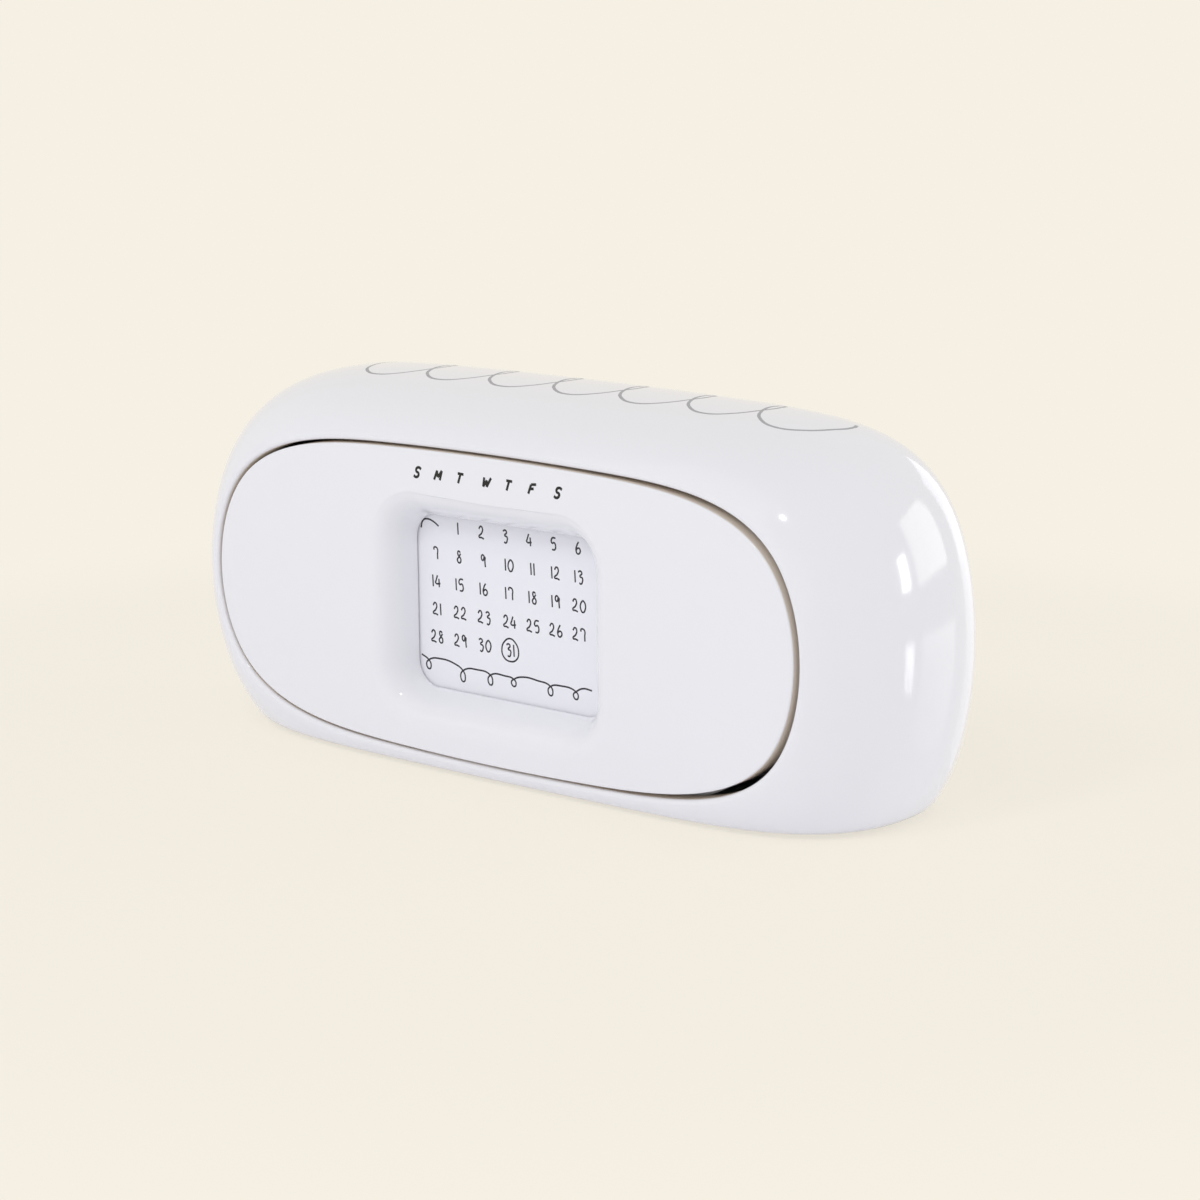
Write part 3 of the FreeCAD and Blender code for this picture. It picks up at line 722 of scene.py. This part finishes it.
bm = bmesh.new()
tray_places = corners(TRAY_SCREW_ACROSS, TRAY_SCREW_UP, CENTRE_Z)
pocket_places = corners(POCKET_SCREW_ACROSS, POCKET_SCREW_UP, WINDOW_Z)
for tray_place, pocket_place in zip(tray_places, pocket_places):
    add_post(bm, *tray_place, FRONT_SKIN, TRAY_START, **TRAY_POST)
    add_post(bm, *pocket_place, FRONT_SKIN, RECESS_DEPTH, **POCKET_POST)
front_posts = finished(bm, "drawer_front_posts", gloss_abs, "drawer")
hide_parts("drawer_front")

# %% [markdown]
# The month card is printed in thin dark strokes, like figures drawn with a fine pen. Each figure
# is one or two smooth strokes through a few points in a box one unit wide and high. A curve with a
# round section draws the stroke, and pressing it flat leaves a film of ink on the card.

# %% Pen strokes of the figures
FIGURES = {
    "0": [[(0.5, 1), (0.1, 0.68), (0.14, 0.2), (0.5, 0), (0.88, 0.24), (0.9, 0.74), (0.5, 1)]],
    "1": [[(0.3, 1), (0.5, 0.5), (0.7, 0)]],
    "2": [[(0.04, 0.76), (0.4, 1), (0.72, 0.8), (0.52, 0.42), (0.06, 0.1), (0.5, 0.06), (0.95, -0.02)]],
    "3": [[(0.1, 0.9), (0.5, 1), (0.76, 0.82), (0.42, 0.56), (0.84, 0.44), (0.86, 0.16), (0.6, -0.06),
           (0.3, 0.0)]],
    "4": [[(0.4, 1), (0.14, 0.56), (0.04, 0.34), (0.94, 0.32)], [(0.66, 0.72), (0.7, 0.4), (0.72, 0)]],
    "5": [[(0.86, 1), (0.24, 0.96), (0.2, 0.56), (0.62, 0.6), (0.86, 0.34), (0.7, 0.04), (0.22, 0.02)]],
    "6": [[(0.56, 1), (0.24, 0.66), (0.1, 0.28), (0.4, 0), (0.82, 0.16), (0.76, 0.42), (0.46, 0.48),
           (0.16, 0.32)]],
    "7": [[(0.1, 0.76), (0.14, 0.96), (0.5, 1.0), (0.78, 0.86), (0.78, 0.4), (0.8, 0)]],
    "8": [[(0.72, 0.88), (0.36, 0.98), (0.24, 0.72), (0.8, 0.28), (0.56, 0), (0.14, 0.2), (0.46, 0.52),
           (0.76, 0.8)]],
    "9": [[(0.72, 0.84), (0.36, 1), (0.14, 0.72), (0.42, 0.54), (0.74, 0.84), (0.78, 0.5), (0.86, 0)]],
}
MIDDLE = 0.5
STROKE_RADIUS = 0.22
INK_THICK = 0.02
PEN_ROUND_STEPS = 2
PEN_LONG_STEPS = 8


def add_stroke(curve, points, closed=False):
    """A smooth stroke through points given across and up in millimetres."""
    spline = curve.splines.new("BEZIER")
    spline.bezier_points.add(len(points) - 1)
    for point, (x, z) in zip(spline.bezier_points, points):
        point.co = (x * MM, 0, z * MM)
        point.handle_left_type = point.handle_right_type = "AUTO"
    spline.use_cyclic_u = closed


def new_pen(radius):
    """An empty curve that will draw round strokes of one radius."""
    pen = bpy.data.curves.new("pen", "CURVE")
    pen.dimensions = "3D"
    pen.bevel_depth = radius * MM
    pen.bevel_resolution = PEN_ROUND_STEPS
    pen.resolution_u = PEN_LONG_STEPS
    pen.use_fill_caps = True
    return pen


def mesh_of(curve):
    """The mesh that a curve draws, as a bmesh."""
    holder = bpy.data.objects.new("holder", curve)
    bpy.context.collection.objects.link(holder)
    drawn = holder.evaluated_get(bpy.context.evaluated_depsgraph_get())
    mesh = bpy.data.meshes.new_from_object(drawn)
    bm = bmesh.new()
    bm.from_mesh(mesh)
    bpy.data.objects.remove(holder)
    bpy.data.meshes.remove(mesh)
    return bm


def pressed(bm, depth_at):
    """Presses a drawing to a film of ink on a face whose depth depends on x and z."""
    reach = max(abs(v.co.y) for v in bm.verts)
    for vertex in bm.verts:
        share = vertex.co.y / reach
        depth = depth_at(vertex.co.x / MM, vertex.co.z / MM)
        vertex.co.y = (FRONT_Y + depth + share * INK_THICK) * MM


print("figures with strokes:", len(FIGURES))

# %% [markdown]
# The card shows a month that starts on the second column. Seven columns and five rows carry the
# days and a ring marks the last one. Each number is set by the widths of its own figures, because
# a one is only a line and would stand too far from its neighbour on an even step.

# %% Days of the month
GRID_X = -1.78
GRID_Z = CENTRE_Z + 3.04
COLUMN_PITCH = 7.58
ROW_PITCH = 7.01
COLUMN_NUDGES = (0.3, 0.3, 0.5, 1.1, 0.9, 0.5, 0.1)
FIGURE_HEIGHT = 2.95
FIGURE_WIDTH = 1.72
NARROW_FIGURE = 0.35
FIGURE_GAP = 0.62
FIRST_COLUMN = 1
COLUMNS = 7
ROWS = 5
DAYS = 31
CARD_DEPTH = RECESS_DEPTH
RING_ACROSS = 2.65
RING_UP = 2.85
RING_TWIST = 0.2
RING_POINTS = 8


def day_place(day):
    """The middle of a day's number, across and up in millimetres."""
    column, row = (day - 1 + FIRST_COLUMN) % COLUMNS, (day - 1 + FIRST_COLUMN) // COLUMNS
    nudge = COLUMN_NUDGES[column] if row else 0
    return (
        GRID_X + (column - (COLUMNS - 1) / 2) * COLUMN_PITCH + nudge,
        GRID_Z - (row - (ROWS - 1) / 2) * ROW_PITCH,
    )


def write_number(pen, number, middle_x, middle_z):
    """Sets the figures of a number side by side about a middle point."""
    widths = [NARROW_FIGURE if figure == "1" else FIGURE_WIDTH for figure in number]
    left = middle_x - (sum(widths) + FIGURE_GAP * (len(widths) - 1)) / 2
    for figure, width in zip(number, widths):
        for stroke in FIGURES[figure]:
            add_stroke(pen, [
                (left + x * width, middle_z + (z - MIDDLE) * FIGURE_HEIGHT) for x, z in stroke
            ])
        left += width + FIGURE_GAP


pen = new_pen(STROKE_RADIUS)
for day in range(1, DAYS + 1):
    write_number(pen, str(day), *day_place(day))
ring_x, ring_z = day_place(DAYS)
ring_angles = [2 * math.pi * i / RING_POINTS for i in range(RING_POINTS)]
add_stroke(pen, [
    (ring_x + RING_ACROSS * math.cos(a) - RING_TWIST * math.sin(2 * a),
     ring_z + RING_UP * math.sin(a))
    for a in ring_angles
], closed=True)
bm = mesh_of(pen)
pressed(bm, lambda x, z: CARD_DEPTH)
finished(bm, "month_figures", print_ink, "drawer")

# %% [markdown]
# A line with hanging loops closes the page, and a short arc starts it at the upper left. Both are
# drawn with the same pen. A loop is four points more on the way of the line: down one side, the
# bottom, up the other side, and just past the crossing.

# %% Loops and arc on the card
LOOP_WIDTH = 1.5
LOOP_FOOT_SHIFT = 0.2
LOOP_END_SHIFT = 0.25
LOOP_END_RISE = 0.1
LINE_POINTS = [
    (-29.6, -16.2), (-27.3, -17.3), (-23.3, -16.5), (-18.7, -17.1), (-16.1, -18.4), (-11.3, -17.5),
    (-7.2, -18.2), (-2.4, -17.7), (0.3, -18.1), (3.5, -17.1), (7.8, -17.3), (11.9, -18.1),
    (15.0, -17.5), (19.8, -18.2), (22.1, -17.1), (24.8, -17.2),
]
LOOP_DROPS = {1: 2.3, 4: 2.8, 6: 2.5, 8: 1.8, 11: 2.3, 13: 1.9}
ARC_POINTS = [(-29.0, 15.9), (-28.3, 17.8), (-26.9, 18.3), (-25.0, 17.9), (-23.2, 16.9)]


def looped(points, drops):
    """The line with a loop hung at each numbered point."""
    made = []
    for i, (x, z) in enumerate(points):
        made.append((x, z))
        if i in drops:
            drop = drops[i]
            made += [
                (x + LOOP_WIDTH / 2, z - drop / 2),
                (x + LOOP_FOOT_SHIFT, z - drop),
                (x - LOOP_WIDTH / 2, z - drop / 2),
                (x + LOOP_END_SHIFT, z + LOOP_END_RISE),
            ]
    return made


pen = new_pen(STROKE_RADIUS)
for stroke in (looped(LINE_POINTS, LOOP_DROPS), ARC_POINTS):
    add_stroke(pen, [(x, CENTRE_Z + z) for x, z in stroke])
bm = mesh_of(pen)
pressed(bm, lambda x, z: CARD_DEPTH)
finished(bm, "page_lines", print_ink, "drawer")

# %% [markdown]
# The initials of the weekdays stand on the drawer front above the window, pad-printed in black.
# They are hand letters, drawn with a broad pen and slanted, so they are strokes as well. They
# follow the bow of the face, or they would sink into it at the sides.

# %% Weekday initials on the drawer front
LETTERS = {
    "S": [[(0.95, 0.84), (0.6, 1.0), (0.2, 0.86), (0.26, 0.6), (0.7, 0.4), (0.72, 0.12), (0.35, 0.0),
           (0.02, 0.14)]],
    "M": [[(0.0, 0.0), (0.12, 0.96)], [(0.12, 0.96), (0.46, 0.3)], [(0.46, 0.3), (0.88, 1.0)],
          [(0.88, 1.0), (0.9, 0.02)]],
    "T": [[(0.05, 0.98), (0.98, 0.95)], [(0.5, 0.94), (0.46, 0.0)]],
    "W": [[(0.0, 0.98), (0.18, 0.04)], [(0.18, 0.04), (0.5, 0.72)], [(0.5, 0.72), (0.72, 0.06)],
          [(0.72, 0.06), (1.05, 1.0)]],
    "F": [[(0.95, 1.0), (0.2, 0.93)], [(0.2, 0.93), (0.12, 0.0)], [(0.2, 0.5), (0.74, 0.55)]],
}
WEEK = "SMTWTFS"
LETTER_X = 1.43
LETTER_Z = CENTRE_Z + 32.05
LETTER_PITCH = 7.36
LETTER_NUDGES = (-0.2, -0.8, -1.4, -0.3, -0.9, -0.9, -0.4)
LETTER_HEIGHT = 2.4
LETTER_WIDTH = 2.0
LETTER_SLANT = 0.28
BROAD_RADIUS = 0.34

pen = new_pen(BROAD_RADIUS)
for i, letter in enumerate(WEEK):
    middle = LETTER_X + (i - (len(WEEK) - 1) / 2) * LETTER_PITCH + LETTER_NUDGES[i]
    left = middle - LETTER_WIDTH / 2
    for stroke in LETTERS[letter]:
        add_stroke(pen, [
            (left + x * LETTER_WIDTH + (z - MIDDLE) * LETTER_SLANT * LETTER_HEIGHT,
             LETTER_Z + (z - MIDDLE) * LETTER_HEIGHT)
            for x, z in stroke
        ])
bm = mesh_of(pen)
pressed(bm, bow)
finished(bm, "weekday_letters", black_pad_print, "drawer")

# %% [markdown]
# A thin grey line runs along the top of the housing, printed before assembly. Here it is a plain
# row of open loops. The line is drawn flat, seen from above, and a ray straight down finds the
# height of the housing under each of its points.

# %% Grey line on the top
TOP_LINE_RADIUS = 0.42
TOP_LOOPS = 7
TOP_FIRST_X = -66.0
TOP_LAST_X = 78.0
TOP_LINE_Y = 2.0
TOP_LOOP_REACH = 9.0
TOP_LOOP_STEPS = 8
TOP_BACK_SWING = 5.0
RAY_HEIGHT = 200.0

tree_of_shell = BVHTree.FromPolygons(
    [v.co.copy() for v in housing_shell.data.vertices],
    [p.vertices[:] for p in housing_shell.data.polygons],
)


def top_line_point(share):
    """The place on the top at a share of the looped line, across and back in millimetres."""
    angle = 2 * math.pi * TOP_LOOPS * share
    x = TOP_FIRST_X + (TOP_LAST_X - TOP_FIRST_X) * share - TOP_BACK_SWING * math.sin(angle)
    return x, TOP_LINE_Y + TOP_LOOP_REACH * math.cos(angle)


pen = new_pen(TOP_LINE_RADIUS)
top_points = TOP_LOOPS * TOP_LOOP_STEPS
add_stroke(pen, [top_line_point(i / top_points) for i in range(top_points + 1)])
bm = mesh_of(pen)
reach = max(abs(v.co.y) for v in bm.verts)
for vertex in bm.verts:
    share = vertex.co.y / reach
    above = Vector((vertex.co.x, vertex.co.z, RAY_HEIGHT * MM))
    ground = tree_of_shell.ray_cast(above, Vector((0, 0, -1)))[0]
    vertex.co = ground - Vector((0, 0, share * INK_THICK * MM))
finished(bm, "top_line", grey_ink, "housing_body")

# %% [markdown]
# The screws that show, in the back cover and inside the tray, are cross-recessed pan heads of
# zinc-plated steel. A cone operator makes shank and head, a bevel rounds the rim of the head, and
# a boolean cut with two crossed wedges sinks the recess. The bevel leaves its faces in another
# order in each run, and the cut splits faces by their order. So the mesh is built again, ordered
# by place, before it is cut, and each run gives the same screws.

# %% Cross-recessed screws
SCREW_SEGMENTS = 32
SCREW_SHARP_DEGREES = 28.0
BEVEL_SEGMENTS = 3
LEVEL_TOLERANCE = MM / 10000
CROSS_LONG_SHARE = 1.25
CROSS_WIDE_SHARE = 0.26
CROSS_DEEP_SHARE = 0.55
RIM_SHARE = 0.3


def placed_cone(bm, point, radius, length, centre_depth):
    """A round bar along the depth axis about a point in x and z."""
    made = bmesh.ops.create_cone(
        bm, cap_ends=True, segments=SCREW_SEGMENTS, radius1=radius * MM, radius2=radius * MM,
        depth=length * MM,
    )["verts"]
    bmesh.ops.rotate(bm, verts=made, matrix=Matrix.Rotation(math.pi / 2, 3, "X"))
    bmesh.ops.translate(bm, verts=made, vec=place(point[0], centre_depth, point[1]))
    return made


def add_screw(bm, cutter, point, seat_depth, head_radius, head_height, shank_radius, length):
    """A screw driven forward, with its head behind the seat, and the wedges that cut its cross."""
    head = placed_cone(bm, point, head_radius, head_height, seat_depth + head_height / 2)
    rear = max(v.co.y for v in head)
    level = rear - LEVEL_TOLERANCE
    rim = {e for v in head for e in v.link_edges if all(w.co.y > level for w in e.verts)}
    bmesh.ops.bevel(
        bm, geom=list(rim), offset=head_height * RIM_SHARE * MM, segments=BEVEL_SEGMENTS,
        profile=0.5, material=-1, affect="EDGES",
    )
    placed_cone(bm, point, shank_radius, length, seat_depth - length / 2)
    cross = place(point[0], seat_depth + head_height, point[1])
    for turn_angle in (0, math.pi / 2):
        wedge = bmesh.ops.create_cube(cutter, size=MM)["verts"]
        size = (
            head_radius * CROSS_LONG_SHARE, 2 * head_height * CROSS_DEEP_SHARE,
            head_radius * CROSS_WIDE_SHARE,
        )
        bmesh.ops.scale(cutter, verts=wedge, vec=size)
        bmesh.ops.rotate(cutter, verts=wedge, matrix=Matrix.Rotation(turn_angle, 3, "Y"))
        bmesh.ops.translate(cutter, verts=wedge, vec=cross)


def ordered(bm):
    """The same mesh with its vertices and faces ordered by place."""
    vertices = sorted(bm.verts, key=lambda vertex: vertex.co[:])
    for number, vertex in enumerate(vertices):
        vertex.index = number
    faces = []
    for face in bm.faces:
        numbers = [vertex.index for vertex in face.verts]
        first = numbers.index(min(numbers))
        faces.append(numbers[first:] + numbers[:first])
    built = bmesh.new()
    copies = [built.verts.new(vertex.co) for vertex in vertices]
    for numbers in sorted(faces):
        built.faces.new([copies[number] for number in numbers])
    bm.free()
    return built


def cut_screws(name, points, seat_depth, sizes, body, node_name):
    """A group of screws that replaces one node of the construction."""
    bm, cutter = bmesh.new(), bmesh.new()
    for point in points:
        add_screw(bm, cutter, point, seat_depth, **sizes)
    screws = finished(ordered(bm), name, zinc, body, SCREW_SHARP_DEGREES)
    cutter_mesh = bpy.data.meshes.new("cross_wedges")
    cutter.to_mesh(cutter_mesh)
    cutter.free()
    wedges = bpy.data.objects.new("cross_wedges", cutter_mesh)
    bpy.context.collection.objects.link(wedges)
    cut = screws.modifiers.new("cross", "BOOLEAN")
    cut.object = wedges
    cut.solver = "EXACT"
    cut.use_self = True
    drawn = screws.evaluated_get(bpy.context.evaluated_depsgraph_get())
    mesh = bpy.data.meshes.new_from_object(drawn)
    screws.modifiers.clear()
    screws.data = mesh
    bpy.data.objects.remove(wedges)
    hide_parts(node_name)
    print(name, "faces after the cut:", len(mesh.polygons))


# %% Screws of the back cover
COVER_SCREW = {"head_radius": 2.8, "head_height": 1.4, "shank_radius": 1.15, "length": 8.0}
COVER_SCREW_ACROSS = 81.3
COVER_SCREW_UP = 17.0

cover_places = corners(COVER_SCREW_ACROSS, COVER_SCREW_UP, (cover_top + cover_bottom) / 2)
cover_seat = PART_DEPTH - COVER_SCREW["head_height"]
cut_screws(
    "cross_cover_screws", cover_places, cover_seat, COVER_SCREW, "housing_body",
    "back_cover_screws",
)

# %% Screws of the tray
TRAY_SCREW = {"head_radius": 2.8, "head_height": 1.6, "shank_radius": 1.15, "length": 8.0}
TRAY_WALL = 2.0

cut_screws(
    "cross_tray_screws", tray_places, TRAY_START + TRAY_WALL, TRAY_SCREW, "drawer", "tray_screws",
)

# %% [markdown]
# Four round rubber feet sit in wells of the base and stand less than a millimetre proud. Each is
# a moulded disc with a soft lower rim. The construction gives the place of each, so a loop over
# the four boxes makes them, and each piece stands for its own solid.

# %% Rubber feet
FOOT_SEGMENTS = 48
FOOT_ROUND = 0.5

foot_names = [name for name in frame["nodes"] if name.endswith("_foot")]
for name in foot_names:
    low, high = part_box(name)
    centre = (Vector(low) + Vector(high)) / 2
    radius = (high[0] - low[0]) / 2
    bm = bmesh.new()
    disc = bmesh.ops.create_cone(
        bm, cap_ends=True, segments=FOOT_SEGMENTS, radius1=radius, radius2=radius,
        depth=high[2] - low[2],
    )["verts"]
    rim = {e for v in disc for e in v.link_edges if all(w.co.z < 0 for w in e.verts)}
    bmesh.ops.bevel(
        bm, geom=list(rim), offset=FOOT_ROUND * MM, segments=BEVEL_SEGMENTS, profile=0.5,
        material=-1, affect="EDGES",
    )
    bmesh.ops.translate(bm, verts=bm.verts, vec=centre)
    foot = finished(bm, "round_" + name, rubber, "housing_body")
    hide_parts(name)

# %% [markdown]
# The object stands on a pale floor that runs out into a plain backdrop of the same colour. What
# the camera sees of it is mostly its own colour with a share of real shade, so a soft contact
# shadow stays and the rest is even. For the light that bounces it is a neutral matt board that
# glows faintly, like a light table, which keeps the underside of the housing from going grey. In
# the gloss of the housing it is a polished table top that mirrors the window.

# %% Finish of the floor
BACKDROP = "#F6F0E4"
FLOOR_BOUNCE = "#F6F6F8"
FLOOR_GLOW = 0.12
FLOOR_RADIUS = 1.5
SHADE_SHARE = 0.28
SHADE_REACH = 0.30
SHADE_FADE = 0.20
TABLE_ROUGHNESS = 0.04
TABLE_IOR = 1.6
FLOOR_SEGMENTS = 64

floor_material = bpy.data.materials.new("pale_studio_board")
floor_material.use_nodes = True
tree = floor_material.node_tree
tree.nodes.clear()
path = node(tree, "ShaderNodeLightPath")
coordinates = node(tree, "ShaderNodeTexCoord")
distance = node(tree, "ShaderNodeVectorMath", {0: coordinates.outputs["Object"]}, operation="LENGTH")
nearness = node(
    tree, "ShaderNodeMapRange", {"Value": distance.outputs["Value"]},
    interpolation_type="SMOOTHSTEP", From_Min=SHADE_FADE, From_Max=SHADE_REACH,
    To_Min=SHADE_SHARE, To_Max=0.0,
)
shaded = node(tree, "ShaderNodeBsdfDiffuse", Color=linear(BACKDROP))
even = node(tree, "ShaderNodeEmission", Color=linear(BACKDROP), Strength=1.0)
seen = node(
    tree, "ShaderNodeMixShader",
    {0: nearness.outputs["Result"], 1: even.outputs[0], 2: shaded.outputs[0]},
)
polish = node(
    tree, "ShaderNodeBsdfGlossy", Color=linear("#FFFFFF"), Roughness=TABLE_ROUGHNESS,
)
edge_gloss = node(tree, "ShaderNodeFresnel", IOR=TABLE_IOR)
mirrored = node(
    tree, "ShaderNodeMixShader", {0: edge_gloss.outputs[0], 1: seen.outputs[0], 2: polish.outputs[0]},
)
board = node(tree, "ShaderNodeBsdfDiffuse", Color=linear(FLOOR_BOUNCE))
glow = node(tree, "ShaderNodeEmission", Color=linear(FLOOR_BOUNCE), Strength=FLOOR_GLOW)
bounce = node(tree, "ShaderNodeAddShader", {0: board.outputs[0], 1: glow.outputs[0]})
direct = node(
    tree, "ShaderNodeMixShader",
    {0: path.outputs["Is Camera Ray"], 1: bounce.outputs[0], 2: seen.outputs[0]},
)
whole = node(
    tree, "ShaderNodeMixShader",
    {0: path.outputs["Is Glossy Ray"], 1: direct.outputs[0], 2: mirrored.outputs[0]},
)
node(tree, "ShaderNodeOutputMaterial", {"Surface": whole.outputs[0]})
print("nodes of the floor's finish:", len(tree.nodes))

# %% Floor piece
bm = bmesh.new()
bmesh.ops.create_circle(bm, cap_ends=True, segments=FLOOR_SEGMENTS, radius=FLOOR_RADIUS)
floor_mesh = bpy.data.meshes.new("studio_floor")
bm.to_mesh(floor_mesh)
bm.free()
floor_mesh.materials.append(floor_material)
floor = bpy.data.objects.new("studio_floor", floor_mesh)
bpy.context.collection.objects.link(floor)
print("floor, m across:", 2 * FLOOR_RADIUS)

# %% [markdown]
# The room light is even from all sides, as in a light tent, which keeps the white body free of
# hard shade. Rays from the camera, mirror rays and rays through glass meet the backdrop colour at
# strength 1, and all others meet the neutral room.

# %% Room light
ROOM_LEVEL = 0.68
ROOM_COLOUR = "#FFFFFF"

world = bpy.data.worlds.new("light_tent")
bpy.context.scene.world = world
world.use_nodes = True
tree = world.node_tree
tree.nodes.clear()
path = node(tree, "ShaderNodeLightPath")
seen_or_glossy = node(
    tree, "ShaderNodeMath",
    {0: path.outputs["Is Camera Ray"], 1: path.outputs["Is Glossy Ray"]}, operation="MAXIMUM",
)
visible = node(
    tree, "ShaderNodeMath",
    {0: seen_or_glossy.outputs[0], 1: path.outputs["Is Transmission Ray"]}, operation="MAXIMUM",
)
room = node(tree, "ShaderNodeBackground", Color=linear(ROOM_COLOUR), Strength=ROOM_LEVEL)
backdrop = node(tree, "ShaderNodeBackground", Color=linear(BACKDROP), Strength=1.0)
both = node(
    tree, "ShaderNodeMixShader", {0: visible.outputs[0], 1: room.outputs[0], 2: backdrop.outputs[0]},
)
node(tree, "ShaderNodeOutputWorld", {"Surface": both.outputs[0]})
print("room level:", ROOM_LEVEL)

# %% [markdown]
# A small key light in front and above throws the shade of the window's upper edge on the card. It
# is left out of the gloss. A large faint soft box stands round it, and a faint low box fills the
# front. A tall window behind the right side, with a bright strip and a curtain, shows its bars in
# the gloss there, and a small bulb makes the point of light on the shoulder. Each lamp is given
# by its direction from the object in degrees, its distance and its sides in metres, and how
# bright its face looks. An area lamp is set by its power, which here is that brightness times
# four times its area.

# %% Lamps
AREA_LAMP_FACTOR = 4.0
lamps = {
    "soft_box": (-25, 48, 1.5, 1.3, 1.3, 0.20, "#FFFFFF"),
    "matt_key": (-5, 44, 1.5, 0.3, 0.3, 9.0, "#FFFFFF"),
    "low_front_box": (15, 15, 1.6, 1.7, 0.75, 0.14, "#FFFFFF"),
    "small_bulb": (26, 51, 1.2, 0.05, 0.05, 60.0, "#FFFFFF"),
    "window_pane_upper": (137, 15, 1.3, 0.50, 0.48, 1.6, "#FFFDF8"),
    "window_pane_lower": (137, 4, 1.3, 0.50, 0.03, 1.6, "#FFFDF8"),
    "window_strip": (118, 9, 1.3, 0.12, 0.22, 10.0, "#FFFFFF"),
    "window_curtain": (176, 6, 1.5, 0.55, 0.9, 1.0, "#F4F6FF"),
}
aim = place(0, PART_DEPTH / 2, CENTRE_Z)
for name, (azimuth, elevation, distance, wide, tall, level, colour) in lamps.items():
    light = bpy.data.lights.new(name, "AREA")
    light.shape = "RECTANGLE"
    light.size, light.size_y = wide, tall
    light.energy = level * AREA_LAMP_FACTOR * wide * tall
    light.color = linear(colour)[:3]
    lamp = bpy.data.objects.new(name, light)
    bpy.context.collection.objects.link(lamp)
    a, e = math.radians(azimuth), math.radians(elevation)
    toward = Vector((math.sin(a) * math.cos(e), -math.cos(a) * math.cos(e), math.sin(e)))
    axes = (-toward).to_track_quat("-Z", "Y").to_matrix().to_4x4()
    lamp.matrix_world = Matrix.Translation(aim + toward * distance) @ axes
    lamp.visible_glossy = not name.startswith("matt")
print("lamps:", len(lamps))
